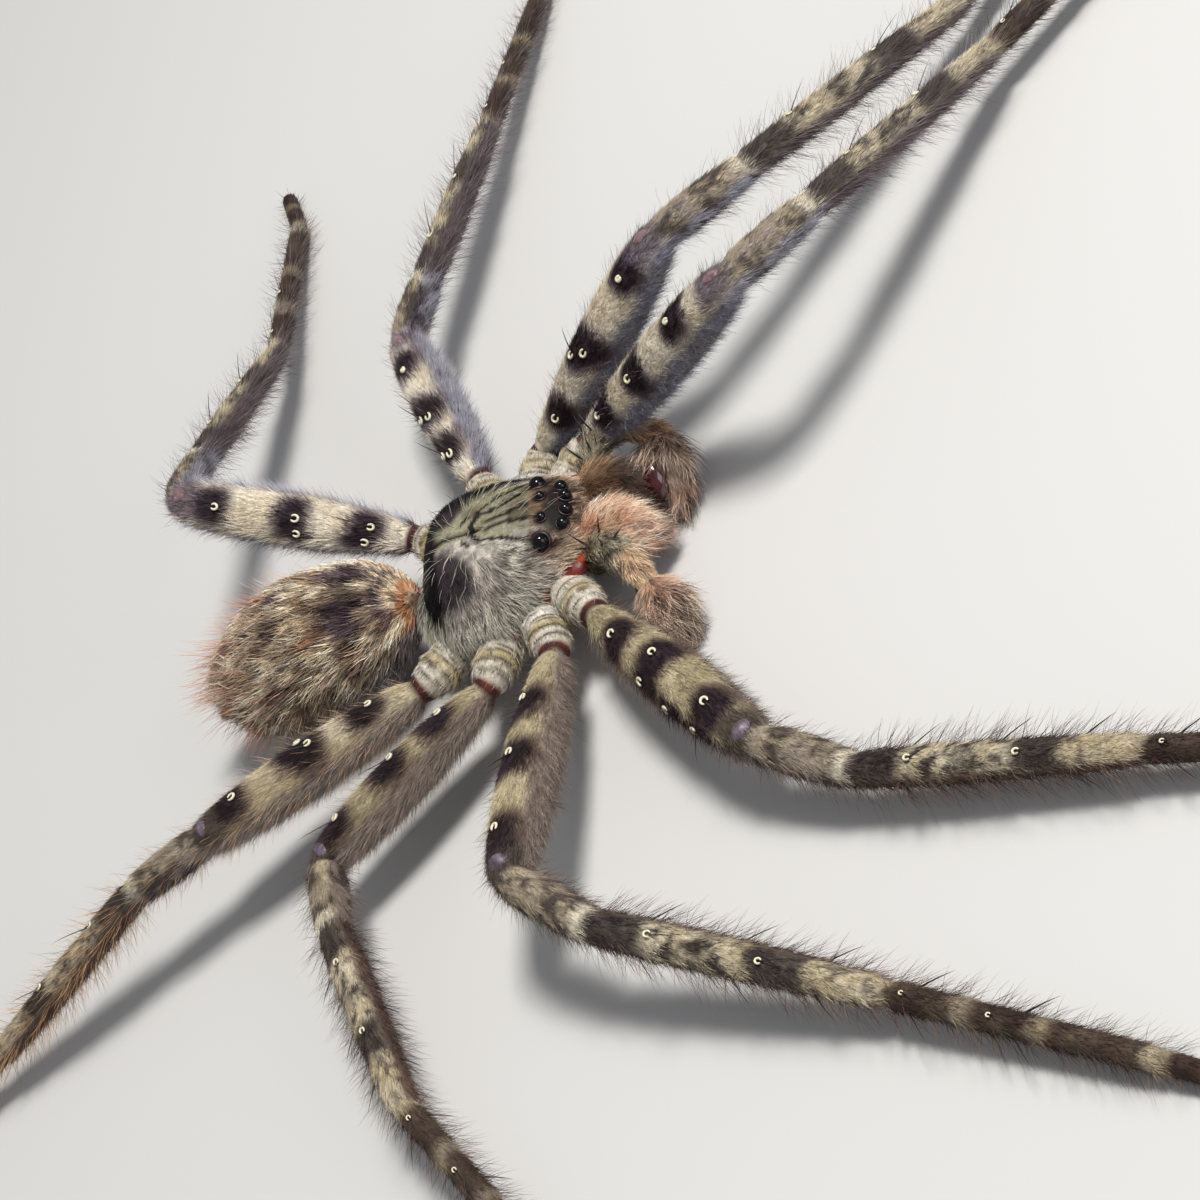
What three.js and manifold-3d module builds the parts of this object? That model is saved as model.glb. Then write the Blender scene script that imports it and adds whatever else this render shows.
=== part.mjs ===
// A life-size huntsman spider, standing still on its eight feet.
// Millimetres, +Z up. The head faces -Y and the animal's right side is towards -X.
// The origin is under the middle of the whole figure, on the level the feet stand on.
import * as THREE from "three";
import { mergeVertices } from "three/addons/utils/BufferGeometryUtils.js";
import Module from "manifold-3d";

const wasm = await Module();
wasm.setup();

// ---------------------------------------------------------------- driving sizes
const GAP = 0.3; // clear gap between neighbouring pieces
const EYE_GAP = 0.12; // the same around an eye
const FINENESS = 0.02; // facets flatter than this are joined
const CENTRE_X = 2.3936; // moves the middle of the carapace so that the figure is centred on the origin
const CENTRE_Y = 2.921;

// carapace and sternum: one body, by stations along the animal
const CARAPACE_FRONT = -4.75; // y of the clypeus
const CARAPACE_LENGTH = 9.7;
const MARGIN_Z = 3.55; // height of the carapace's lower edge
const PEDICEL_RADIUS = 0.75;

// abdomen
const ABDOMEN_FRONT = [0.0, 5.1, 4.55];
const ABDOMEN_REAR = [1.9, 18.1, 4.25];
const ABDOMEN_HALF_WIDTH = 4.0;
const ABDOMEN_HALF_HEIGHT = 3.35;

// legs: where each femur starts (outwards, along the body, up), and its segment lengths
const LEGS = {
  1: { hip: [4.6, -4.8, 3.4], femur: 14.3, patella: 4.92, tibia: 13.67, metatarsus: 12.95, tarsus: 3.6 },
  2: { hip: [6.2, -1.8, 3.05], femur: 13.5, patella: 5.09, tibia: 14.39, metatarsus: 13.37, tarsus: 3.8 },
  3: { hip: [6.3, 1.9, 3.35], femur: 11.07, patella: 3.96, tibia: 11.43, metatarsus: 11.16, tarsus: 3.2 },
  4: { hip: [4.6, 5.5, 3.7], femur: 13.01, patella: 4.47, tibia: 12.64, metatarsus: 11.81, tarsus: 3.7 },
};
// this hip is drawn back a little against its fellow
const HIP_SHIFT = { R1: [-0.7, 0.6, -0.3] };
// where each coxa starts, under the edge of the sternum (outwards, along, up)
const COXA_ROOT = { 1: [2.3, -2.3, 2.9], 2: [2.6, -0.7, 2.75], 3: [2.6, 0.9, 2.8], 4: [2.1, 2.6, 2.95] };

// pose: direction of femur, patella, tibia, metatarsus and tarsus. Each is [turn from
// straight ahead, + to the animal's left; tilt above the floor], in degrees. The tarsus
// takes its tilt from the height of the foot.
const POSE = {
  R1: [[-55.4, 1.2], [-37, -13.8], [-23, -2.2], [-24, -3.4], [-24]],
  R2: [[-95.2, 11.2], [-46, -12.3], [-32, -11.6], [-35, -3.4], [-35]],
  R3: [[-154, 0.9], [-83, -0.4], [-71, -2.2], [-58, -11.5], [-58]],
  R4: [[-167, 5.9], [-168, 1.8], [-169, -13.4], [-169, -6.4], [-169]],
  L1: [[-11.1, 25.4], [40, -16.7], [55, -25.6], [29, -5.0], [29]],
  L2: [[6.8, 27.4], [37, -18.3], [44, -22.9], [44, -4.6], [44]],
  L3: [[108, 8.0], [73, -4.3], [74, -8.7], [77, -10.3], [77]],
  L4: [[155, 27.5], [96, -22.9], [89, -24.5], [93, -10.6], [106]],
};
const FOOT_HEIGHT = 0.36; // centre of the foot's tip above the floor
const FEMUR_WIDTH = 2.9; // the widest place of a femur, coat and all
const PATELLA_WIDTH = 2.1;
const TIBIA_WIDTH = 1.95;
const METATARSUS_WIDTH = 1.4;
const TARSUS_WIDTH = 1.05;

// eyes: [out, along, up, radius] for the left one of each pair
const EYES = {
  AME: [0.42, -4.45, 5.12, 0.31],
  ALE: [1.12, -4.22, 5.1, 0.3],
  PME: [0.64, -3.42, 5.66, 0.24],
  PLE: [1.74, -3.08, 5.34, 0.42],
};

// ---------------------------------------------------------------- small tools
const V = (a) => new THREE.Vector3(a[0], a[1], a[2]);
const UP = new THREE.Vector3(0, 0, 1);

// Smooth value from a short profile of [position, value] pairs.
function profile(table, t) {
  const last = table.length - 1;
  if (t <= table[0][0]) return table[0][1];
  if (t >= table[last][0]) return table[last][1];
  let i = 0;
  while (t > table[i + 1][0]) i++;
  const [t0, a] = table[i], [t1, b] = table[i + 1];
  const before = table[Math.max(i - 1, 0)], after = table[Math.min(i + 2, last)];
  const h = t1 - t0, u = (t - t0) / h;
  const slopeA = i ? ((b - before[1]) / (t1 - before[0])) * h : b - a;
  const slopeB = i + 1 < last ? ((after[1] - a) / (after[0] - t0)) * h : b - a;
  const u2 = u * u, u3 = u2 * u;
  return (2 * u3 - 3 * u2 + 1) * a + (u3 - 2 * u2 + u) * slopeA + (-2 * u3 + 3 * u2) * b + (u3 - u2) * slopeB;
}

function turned(azimuth, tilt) {
  const a = THREE.MathUtils.degToRad(azimuth), e = THREE.MathUtils.degToRad(tilt);
  return new THREE.Vector3(Math.sin(a) * Math.cos(e), -Math.cos(a) * Math.cos(e), Math.sin(e));
}

// A closed body from rings: ring(i) gives the points of ring i, all the same number, and
// the two ends are closed on a point.
function ringsToSolid(first, rings, last) {
  const n = rings[0].length, points = [first, ...rings.flat(), last], tris = [];
  const at = (ring, k) => 1 + ring * n + (k % n);
  for (let k = 0; k < n; k++) {
    tris.push(0, at(0, k + 1), at(0, k));
    for (let r = 0; r + 1 < rings.length; r++) {
      tris.push(at(r, k), at(r, k + 1), at(r + 1, k + 1));
      tris.push(at(r, k), at(r + 1, k + 1), at(r + 1, k));
    }
    tris.push(points.length - 1, at(rings.length - 1, k), at(rings.length - 1, k + 1));
  }
  const make = (t) =>
    new wasm.Manifold(
      new wasm.Mesh({
        numProp: 3,
        vertProperties: Float32Array.from(points.flatMap((p) => [p.x, p.y, p.z])),
        triVerts: Uint32Array.from(t),
      }),
    );
  const solid = make(tris);
  if (solid.volume() > 0) return solid;
  for (let i = 0; i < tris.length; i += 3) [tris[i + 1], tris[i + 2]] = [tris[i + 2], tris[i + 1]];
  return make(tris);
}

// A limb along a centre line: radius(t) is half its width, tall its height against its
// width, and both ends are rounded off past the end of the line.
function limb(line, radius, { sides = 10, rings = 6, tall = 1, grow = 0, capStart = 1, capEnd = 1 } = {}) {
  const curve = line.length > 2 ? new THREE.CatmullRomCurve3(line, false, "centripetal") : new THREE.LineCurve3(line[0], line[1]);
  const ringAt = (centre, along, r) => {
    const u = UP.clone().addScaledVector(along, -UP.dot(along));
    if (u.length() < 0.05) u.set(0, -1, 0).addScaledVector(along, along.y);
    u.normalize();
    const s = new THREE.Vector3().crossVectors(along, u);
    return Array.from({ length: sides }, (_, k) => {
      const a = ((k + 0.5) / sides) * 2 * Math.PI;
      return centre.clone().addScaledVector(s, Math.cos(a) * r).addScaledVector(u, Math.sin(a) * r * tall);
    });
  };
  const out = [];
  const start = curve.getPoint(0), end = curve.getPoint(1);
  const dirA = curve.getTangent(0).normalize(), dirB = curve.getTangent(1).normalize();
  const ra = radius(0) + grow, rb = radius(1) + grow;
  out.push(ringAt(start.clone().addScaledVector(dirA, -0.7 * ra * capStart), dirA, ra * 0.7));
  for (let i = 0; i <= rings; i++) {
    const t = i / rings;
    out.push(ringAt(curve.getPoint(t), curve.getTangent(t).normalize(), radius(t) + grow));
  }
  out.push(ringAt(end.clone().addScaledVector(dirB, 0.7 * rb * capEnd), dirB, rb * 0.7));
  return ringsToSolid(
    start.clone().addScaledVector(dirA, -ra * capStart),
    out,
    end.clone().addScaledVector(dirB, rb * capEnd),
  );
}

function ball(centre, r, sides = 10, bands = 6, squash = 1) {
  const rings = [];
  for (let i = 1; i < bands; i++) {
    const a = (i / bands) * Math.PI;
    rings.push(
      Array.from({ length: sides }, (_, k) => {
        const b = (k / sides) * 2 * Math.PI;
        return new THREE.Vector3(centre.x + r * Math.sin(a) * Math.cos(b), centre.y + r * Math.sin(a) * Math.sin(b), centre.z + r * squash * Math.cos(a));
      }),
    );
  }
  return ringsToSolid(new THREE.Vector3(centre.x, centre.y, centre.z + r * squash), rings, new THREE.Vector3(centre.x, centre.y, centre.z - r * squash));
}

// keeps the side of the plane through p that n points to
const keep = (solid, n, p, offset = 0) => solid.trimByPlane([n.x, n.y, n.z], n.dot(p) + offset);

// ---------------------------------------------------------------- the body
// Half width, top and bottom of the carapace with the sternum, by station (0 front, 1 rear).
const HALF_WIDTH = [[0, 1.9], [0.06, 2.2], [0.2, 3.0], [0.38, 3.9], [0.58, 4.3], [0.76, 4.0], [0.9, 2.9], [1, 1.5]];
const TOP = [[0, 4.8], [0.05, 5.35], [0.15, 5.85], [0.32, 6.35], [0.5, 6.75], [0.66, 7.0], [0.78, 6.65], [0.9, 5.5], [1, 4.4]];
const BOTTOM = [[0, 2.9], [0.1, 2.5], [0.3, 2.1], [0.6, 2.0], [0.85, 2.4], [1, 3.1]];

function prosoma(grow = 0) {
  const stations = 14, sides = 18, rings = [];
  const ends = [];
  for (let i = 0; i <= stations; i++) {
    const t = i / stations;
    const y = CARAPACE_FRONT + CARAPACE_LENGTH * t + (t - 0.5) * 2 * grow;
    const w = profile(HALF_WIDTH, t) + grow;
    const top = profile(TOP, t) + grow - MARGIN_Z, bottom = MARGIN_Z - profile(BOTTOM, t) + grow;
    if (i === 0) ends.push(new THREE.Vector3(0, y - 0.25, MARGIN_Z + 0.3));
    rings.push(
      Array.from({ length: sides }, (_, k) => {
        const a = (k / sides) * 2 * Math.PI, c = Math.cos(a), s = Math.sin(a);
        const x = w * Math.sign(c) * Math.pow(Math.abs(c), 0.86);
        const z = s >= 0 ? top * Math.pow(s, 0.94) : -bottom * Math.pow(-s, 0.8);
        return new THREE.Vector3(x, y, MARGIN_Z + z);
      }),
    );
    if (i === stations) ends.push(new THREE.Vector3(0, y + 0.25, MARGIN_Z + 0.2));
  }
  return ringsToSolid(ends[0], rings, ends[1]);
}

function abdomen(grow = 0) {
  const a = V(ABDOMEN_FRONT), b = V(ABDOMEN_REAR), axis = b.clone().sub(a), length = axis.length();
  axis.normalize();
  const side = new THREE.Vector3().crossVectors(axis, UP).normalize();
  const up = new THREE.Vector3().crossVectors(side, axis).normalize();
  const width = [[0, 0.3], [0.05, 0.5], [0.2, 0.78], [0.42, 0.97], [0.6, 1], [0.78, 0.82], [0.9, 0.53], [0.97, 0.28], [1, 0.16]];
  const high = [[0, 0.34], [0.05, 0.56], [0.2, 0.85], [0.42, 1], [0.6, 0.98], [0.78, 0.78], [0.9, 0.5], [0.97, 0.28], [1, 0.16]];
  const stations = 13, sides = 16, rings = [];
  for (let i = 0; i <= stations; i++) {
    const t = 0.5 - 0.5 * Math.cos((0.04 + 0.92 * (i / stations)) * Math.PI);
    const c = a.clone().addScaledVector(axis, t * length);
    const w = profile(width, t) * ABDOMEN_HALF_WIDTH + grow, h = profile(high, t) * ABDOMEN_HALF_HEIGHT + grow;
    rings.push(
      Array.from({ length: sides }, (_, k) => {
        const q = (k / sides) * 2 * Math.PI, s = Math.sin(q);
        return c.clone().addScaledVector(side, Math.cos(q) * w).addScaledVector(up, s * h * (s < 0 ? 0.94 : 1));
      }),
    );
  }
  return ringsToSolid(a.clone().addScaledVector(axis, -grow), rings, b.clone().addScaledVector(axis, grow + 0.05));
}

const parts = new Map(); // name -> [solid, material]
const carapaceGrown = prosoma(GAP);
const abdomenGrown = abdomen(GAP);

const pedicelLine = [new THREE.Vector3(0, 3.9, 3.9), new THREE.Vector3(0, 5.15, 4.25)];
const pedicel = (grow) => limb(pedicelLine, () => PEDICEL_RADIUS, { sides: 12, rings: 2, grow });
let trunk = prosoma().add(pedicel(0));
let belly = abdomen().subtract(pedicel(GAP)).subtract(carapaceGrown);

// spinnerets: a low mound with two short cones
const rearAxis = V(ABDOMEN_REAR).sub(V(ABDOMEN_FRONT)).normalize();
const spinBase = V(ABDOMEN_REAR).addScaledVector(rearAxis, -0.5).add(new THREE.Vector3(0, 0, -0.75));
const spinnerets = (grow) => {
  let s = ball(spinBase, 0.75 + grow, 8, 5);
  for (const out of [-1, 1]) {
    const from = spinBase.clone().add(new THREE.Vector3(out * 0.3, 0, -0.1));
    const to = from.clone().addScaledVector(rearAxis, 1.25).add(new THREE.Vector3(out * 0.2, 0, -0.25));
    s = s.add(limb([from, to], (t) => 0.42 - 0.14 * t, { sides: 6, rings: 1, grow }));
  }
  return s;
};
belly = belly.subtract(spinnerets(GAP));
parts.set("spinnerets", [spinnerets(0), "abdomen_coat"]);

// eyes, two rows of four, each sunk in its own socket
for (const [name, [out, y, z, r]] of Object.entries(EYES))
  for (const [label, side] of [["L", 1], ["R", -1]]) {
    const centre = new THREE.Vector3(out * side, y, z);
    trunk = trunk.subtract(ball(centre, r + EYE_GAP, 8, 5));
    parts.set(`eye_${name}_${label}`, [ball(centre, r, 8, 6), "eye"]);
  }

// chelicerae, folded down in front of the mouth, with the fangs laid inwards under them
for (const [label, side] of [["L", 1], ["R", -1]]) {
  const base = new THREE.Vector3(side * 1.15, -4.2, 3.55), mid = new THREE.Vector3(side * 1.2, -5.65, 2.95), tip = new THREE.Vector3(side * 0.98, -6.6, 1.75);
  const shape = (grow) => limb([base, mid, tip], (t) => profile([[0, 1.05], [0.45, 1.25], [0.8, 0.95], [1, 0.62]], t), { sides: 10, rings: 5, grow, tall: 1.05 });
  const fangLine = [new THREE.Vector3(side * 1.05, -6.6, 1.05), new THREE.Vector3(side * 0.85, -6.1, 0.62), new THREE.Vector3(side * 0.5, -5.35, 0.62)];
  const fang = (grow) => limb(fangLine, (t) => 0.34 - 0.1 * t, { sides: 8, rings: 4, grow });
  let chelicera = shape(0).subtract(carapaceGrown).subtract(fang(GAP * 0.6));
  const inward = new THREE.Vector3(side, 0, 0);
  chelicera = keep(chelicera, inward, new THREE.Vector3(side * GAP * 0.5, 0, 0));
  parts.set(`chelicera_${label}`, [chelicera, "chelicera_coat"]);
  parts.set(`fang_${label}`, [keep(fang(0), inward, new THREE.Vector3(side * 0.1, 0, 0)), "fang"]);
  parts.get(`chelicera_${label}`).grown = shape(GAP);
}

// palps: an arm that bends round the chelicera, and a swollen end
const PALPS = {
  R: [[-2.0, -4.1, 2.6], [-2.5, -5.4, 3.8], [-3.6, -6.45, 3.6], [-4.55, -6.85, 2.6], [-6.25, -7.3, 0.95]],
  L: [[2.2, -4.1, 2.6], [3.7, -5.5, 3.85], [3.9, -7.0, 3.9], [3.45, -8.2, 2.85], [1.15, -7.75, 0.95]],
};
const palpGrown = {};
for (const [label, points] of Object.entries(PALPS)) {
  const p = points.map(V);
  const arm = (grow) => limb(p.slice(0, 4), (t) => profile([[0, 0.62], [0.4, 0.72], [0.75, 0.66], [1, 0.62]], t), { sides: 8, rings: 7, grow });
  const bulb = (grow) => limb([p[3], p[4]], (t) => profile([[0, 0.66], [0.35, 0.98], [0.7, 0.84], [1, 0.5]], t), { sides: 8, rings: 4, grow });
  const n = p[4].clone().sub(p[3]).normalize().add(p[3].clone().sub(p[2]).normalize()).normalize();
  const armCut = keep(arm(0), n.clone().negate(), p[3], GAP / 2)
    .subtract(carapaceGrown)
    .subtract(parts.get(`chelicera_${label}`).grown);
  parts.set(`palp_arm_${label}`, [armCut, "leg_coat"]);
  const bulbCut = keep(keep(bulb(0), n, p[3], GAP / 2), UP, new THREE.Vector3(0, 0, 0.12)).subtract(parts.get(`chelicera_${label}`).grown);
  parts.set(`palp_tarsus_${label}`, [bulbCut, "palp_coat"]);
  palpGrown[label] = arm(GAP).add(bulb(GAP));
}

// ---------------------------------------------------------------- the legs
const SHAPES = {
  femur: [[0, 0.6], [0.12, 0.72], [0.35, 0.94], [0.62, 1], [0.85, 0.9], [1, 0.72]],
  patella: [[0, 0.92], [0.4, 1], [1, 0.9]],
  tibia: [[0, 0.92], [0.3, 1], [0.7, 0.93], [1, 0.82]],
};
const coxaePlanes = {};
for (const [label, side] of [["L", 1], ["R", -1]]) {
  const hips = {}, roots = {};
  for (const i of [1, 2, 3, 4]) {
    const [hx, hy, hz] = LEGS[i].hip, [rx, ry, rz] = COXA_ROOT[i];
    hips[i] = new THREE.Vector3(side * hx, hy, hz).add(V(HIP_SHIFT[label + i] || [0, 0, 0]));
    roots[i] = new THREE.Vector3(side * rx, ry, rz);
  }
  // upright planes that part neighbouring coxae
  coxaePlanes[label] = [1, 2, 3].map((i) => {
    const inner = roots[i].clone().add(roots[i + 1]).multiplyScalar(0.5), outer = hips[i].clone().add(hips[i + 1]).multiplyScalar(0.5);
    const run = outer.clone().sub(inner);
    const n = new THREE.Vector3(run.y, -run.x, 0).normalize();
    if (n.y < 0) n.negate(); // towards the rear
    return [n, inner];
  });

  // each femur with the gap round it, to clear its neighbours where the legs crowd together
  const femurWidth = (i) => FEMUR_WIDTH * (i === 3 ? 0.94 : 1);
  const femurShape = (i, grow) => {
    const [turn, tilt] = POSE[label + i][0];
    const knee = hips[i].clone().addScaledVector(turned(turn, tilt), LEGS[i].femur);
    return limb([hips[i], knee], (t) => (profile(SHAPES.femur, t) * femurWidth(i)) / 2, { rings: 6, tall: 0.95, sides: 10, grow });
  };
  const femurGrown = {};
  for (const i of [1, 2, 3, 4]) femurGrown[i] = femurShape(i, GAP);

  for (const i of [1, 2, 3, 4]) {
    const leg = LEGS[i], pose = POSE[label + i], id = `${label}${i}`;
    const names = ["femur", "patella", "tibia", "metatarsus"];
    const joints = [hips[i]], dirs = [];
    names.forEach((n, k) => {
      dirs.push(turned(pose[k][0], pose[k][1]));
      joints.push(joints[k].clone().addScaledVector(dirs[k], leg[n]));
    });
    const tilt = THREE.MathUtils.radToDeg(Math.asin((FOOT_HEIGHT - joints[4].z) / leg.tarsus));
    dirs.push(turned(pose[4][0], tilt));
    joints.push(joints[4].clone().addScaledVector(dirs[4], leg.tarsus));
    const coxaDir = hips[i].clone().sub(roots[i]).normalize();

    // mitre planes between one segment and the next
    const mitre = (d1, d2) => d1.clone().add(d2).normalize();
    const cut = (solid, p, n, keepBeyond) => (keepBeyond ? keep(solid, n, p, GAP / 2) : keep(solid, n.clone().negate(), p, GAP / 2));

    let coxa = limb([roots[i], hips[i]], (t) => profile([[0, 0.9], [0.3, 1.18], [0.7, 1.22], [1, 0.98]], t), { sides: 8, rings: 3 });
    coxa = coxa.subtract(carapaceGrown).subtract(abdomenGrown);
    if (i > 1) coxa = keep(coxa, coxaePlanes[label][i - 2][0], coxaePlanes[label][i - 2][1], GAP / 2);
    if (i < 4) coxa = keep(coxa, coxaePlanes[label][i - 1][0].clone().negate(), coxaePlanes[label][i - 1][1], GAP / 2);
    coxa = cut(coxa, hips[i], mitre(coxaDir, dirs[0]), false);
    if (i === 1) coxa = coxa.subtract(palpGrown[label]);
    for (const near of [i - 1, i + 1]) if (femurGrown[near]) coxa = coxa.subtract(femurGrown[near]);

    const tube = (k, width, opts = {}) => limb([joints[k], joints[k + 1]], (t) => (profile(SHAPES[names[k]], t) * width) / 2, opts);
    let femur = femurShape(i, 0);
    femur = cut(cut(femur, joints[0], mitre(coxaDir, dirs[0]), true), joints[1], mitre(dirs[0], dirs[1]), false);
    femur = femur.subtract(carapaceGrown).subtract(palpGrown[label]);
    if (i === 4) femur = femur.subtract(abdomenGrown);
    if (femurGrown[i + 1]) femur = femur.subtract(femurGrown[i + 1]);
    let patella = tube(1, PATELLA_WIDTH, { rings: 2, tall: 0.95, sides: 8 });
    patella = cut(cut(patella, joints[1], mitre(dirs[0], dirs[1]), true), joints[2], mitre(dirs[1], dirs[2]), false);
    let tibia = tube(2, TIBIA_WIDTH, { rings: 5, tall: 0.9 });
    tibia = cut(cut(tibia, joints[2], mitre(dirs[1], dirs[2]), true), joints[3], mitre(dirs[2], dirs[3]), false);
    const total = leg.metatarsus + leg.tarsus, bend = leg.metatarsus / total;
    const footLine = [joints[3], joints[3].clone().lerp(joints[4], 0.55), joints[4], joints[5]];
    let foot = limb(footLine, (t) => profile([[0, METATARSUS_WIDTH / 2], [bend * 0.9, METATARSUS_WIDTH / 2 - 0.08], [bend, TARSUS_WIDTH / 2 + 0.02], [1, TARSUS_WIDTH / 2]], t), { rings: 9, sides: 8, capEnd: 0.6 });
    foot = cut(foot, joints[3], mitre(dirs[2], dirs[3]), true);
    foot = keep(foot, UP, new THREE.Vector3(0, 0, 0)); // the flat the foot stands on
    parts.set(`coxa_${id}`, [coxa, "coxa_coat"]);
    parts.set(`femur_${id}`, [femur, "leg_coat"]);
    parts.set(`patella_${id}`, [patella, "leg_coat"]);
    parts.set(`tibia_${id}`, [tibia, "leg_coat"]);
    parts.set(`foot_${id}`, [foot, "foot_coat"]);
  }
}
parts.set("prosoma", [trunk, "carapace_coat"]);
parts.set("abdomen", [belly, "abdomen_coat"]);

// ---------------------------------------------------------------- colours and the group
const MATERIALS = {
  carapace_coat: [0x6b6256, 0.82],
  abdomen_coat: [0x6a5a4c, 0.88],
  coxa_coat: [0xb3a68e, 0.85],
  leg_coat: [0x8d8068, 0.85],
  foot_coat: [0x3a2c28, 0.85],
  chelicera_coat: [0xb8866c, 0.85],
  palp_coat: [0x80695c, 0.85],
  eye: [0x0b0b0f, 0.06],
  fang: [0x1c0f0b, 0.25],
};

const group = new THREE.Group();
for (const [name, [solid, slot]] of parts) {
  const mesh = solid.simplify(FINENESS).getMesh();
  const geometry = new THREE.BufferGeometry();
  geometry.setAttribute("position", new THREE.BufferAttribute(Float32Array.from(mesh.vertProperties), mesh.numProp));
  geometry.setIndex(new THREE.BufferAttribute(Uint32Array.from(mesh.triVerts), 1));
  const clean = mergeVertices(geometry, 1e-3);
  clean.translate(-CENTRE_X, -CENTRE_Y, 0);
  clean.computeVertexNormals();
  const [color, roughness] = MATERIALS[slot];
  const piece = new THREE.Mesh(clean, new THREE.MeshStandardMaterial({ color, roughness, metalness: 0 }));
  piece.name = name;
  piece.material.name = slot;
  group.add(piece);
}
group.name = "huntsman_spider";
export default group;
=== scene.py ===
import math
import bpy
import numpy as np
from mathutils import Matrix, Vector


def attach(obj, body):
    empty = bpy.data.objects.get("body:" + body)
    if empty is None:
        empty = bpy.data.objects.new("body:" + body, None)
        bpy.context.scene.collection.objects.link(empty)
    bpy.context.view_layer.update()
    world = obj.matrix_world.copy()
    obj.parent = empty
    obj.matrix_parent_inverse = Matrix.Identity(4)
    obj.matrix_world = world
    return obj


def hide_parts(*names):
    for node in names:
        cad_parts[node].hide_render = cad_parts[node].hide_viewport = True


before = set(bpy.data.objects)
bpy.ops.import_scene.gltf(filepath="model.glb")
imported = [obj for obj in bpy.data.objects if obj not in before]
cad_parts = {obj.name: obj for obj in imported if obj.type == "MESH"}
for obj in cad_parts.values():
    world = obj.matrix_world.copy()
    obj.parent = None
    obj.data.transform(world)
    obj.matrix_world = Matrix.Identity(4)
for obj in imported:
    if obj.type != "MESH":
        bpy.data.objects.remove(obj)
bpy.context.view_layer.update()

rng = np.random.default_rng(7)

# ------------------------------------------------------------------ sizes, mm
CX, CY = 2.3936, 2.921          # middle of the carapace against the frame's origin
UP = np.array([0.0, 0.0, 1.0])
LEGS = {1: ((4.6, -4.8, 3.4), (14.3, 4.92, 13.67, 12.95, 3.6)),
        2: ((6.2, -1.8, 3.05), (13.5, 5.09, 14.39, 13.37, 3.8)),
        3: ((6.3, 1.9, 3.35), (11.07, 3.96, 11.43, 11.16, 3.2)),
        4: ((4.6, 5.5, 3.7), (13.01, 4.47, 12.64, 11.81, 3.7))}
HIP_SHIFT = {"R1": (-0.7, 0.6, -0.3)}
COXA_ROOT = {1: (2.3, -2.3, 2.9), 2: (2.6, -0.7, 2.75), 3: (2.6, 0.9, 2.8), 4: (2.1, 2.6, 2.95)}
POSE = {"R1": ((-55.4, 1.2), (-37, -13.8), (-23, -2.2), (-24, -3.4), (-24,)),
        "R2": ((-95.2, 11.2), (-46, -12.3), (-32, -11.6), (-35, -3.4), (-35,)),
        "R3": ((-154, 0.9), (-83, -0.4), (-71, -2.2), (-58, -11.5), (-58,)),
        "R4": ((-167, 5.9), (-168, 1.8), (-169, -13.4), (-169, -6.4), (-169,)),
        "L1": ((-11.1, 25.4), (40, -16.7), (55, -25.6), (29, -5.0), (29,)),
        "L2": ((6.8, 27.4), (37, -18.3), (44, -22.9), (44, -4.6), (44,)),
        "L3": ((108, 8.0), (73, -4.3), (74, -8.7), (77, -10.3), (77,)),
        "L4": ((155, 27.5), (96, -22.9), (89, -24.5), (93, -10.6), (106,))}
EYES = {"AME": (0.42, -4.45, 5.12, 0.31), "ALE": (1.12, -4.22, 5.1, 0.3),
        "PME": (0.64, -3.42, 5.66, 0.24), "PLE": (1.74, -3.08, 5.34, 0.42)}
FRONT, LONG, MARGIN = -4.75, 9.7, 3.55
HALF_WIDTH = [(0, 1.9), (0.06, 2.2), (0.2, 3.0), (0.38, 3.9), (0.58, 4.3), (0.76, 4.0), (0.9, 2.9), (1, 1.5)]
TOP = [(0, 4.8), (0.05, 5.35), (0.15, 5.85), (0.32, 6.35), (0.5, 6.75), (0.66, 7.0), (0.78, 6.65), (0.9, 5.5), (1, 4.4)]
BOTTOM = [(0, 2.9), (0.1, 2.5), (0.3, 2.1), (0.6, 2.0), (0.85, 2.4), (1, 3.1)]
AB_A, AB_B = np.array([0.0, 5.1, 4.55]), np.array([1.9, 18.1, 4.25])
AB_W, AB_H = 4.0, 3.35
AB_WIDTH = [(0, 0.3), (0.05, 0.5), (0.2, 0.78), (0.42, 0.97), (0.6, 1), (0.78, 0.82), (0.9, 0.53), (0.97, 0.28), (1, 0.16)]
AB_HIGH = [(0, 0.34), (0.05, 0.56), (0.2, 0.85), (0.42, 1), (0.6, 0.98), (0.78, 0.78), (0.9, 0.5), (0.97, 0.28), (1, 0.16)]
PALPS = {"R": ((-2.0, -4.1, 2.6), (-2.5, -5.4, 3.8), (-3.6, -6.45, 3.6), (-4.55, -6.85, 2.6), (-6.25, -7.3, 0.95)),
         "L": ((2.2, -4.1, 2.6), (3.7, -5.5, 3.85), (3.9, -7.0, 3.9), (3.45, -8.2, 2.85), (1.15, -7.75, 0.95))}


def smooth_table(table, t):
    """The smooth curve through a short profile, for an array of t."""
    t = np.clip(np.asarray(t, float), table[0][0], table[-1][0])
    xs = np.array([p[0] for p in table]); ys = np.array([p[1] for p in table])
    i = np.clip(np.searchsorted(xs, t, side="right") - 1, 0, len(xs) - 2)
    h = xs[i + 1] - xs[i]
    u = (t - xs[i]) / h
    slope = np.empty(len(xs))
    slope[1:-1] = (ys[2:] - ys[:-2]) / (xs[2:] - xs[:-2])
    slope[0] = (ys[1] - ys[0]) / (xs[1] - xs[0]); slope[-1] = (ys[-1] - ys[-2]) / (xs[-1] - xs[-2])
    u2, u3 = u * u, u ** 3
    return ((2 * u3 - 3 * u2 + 1) * ys[i] + (u3 - 2 * u2 + u) * slope[i] * h
            + (-2 * u3 + 3 * u2) * ys[i + 1] + (u3 - u2) * slope[i + 1] * h)


def unit(v):
    return v / np.maximum(np.linalg.norm(v, axis=-1, keepdims=True), 1e-9)


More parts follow.
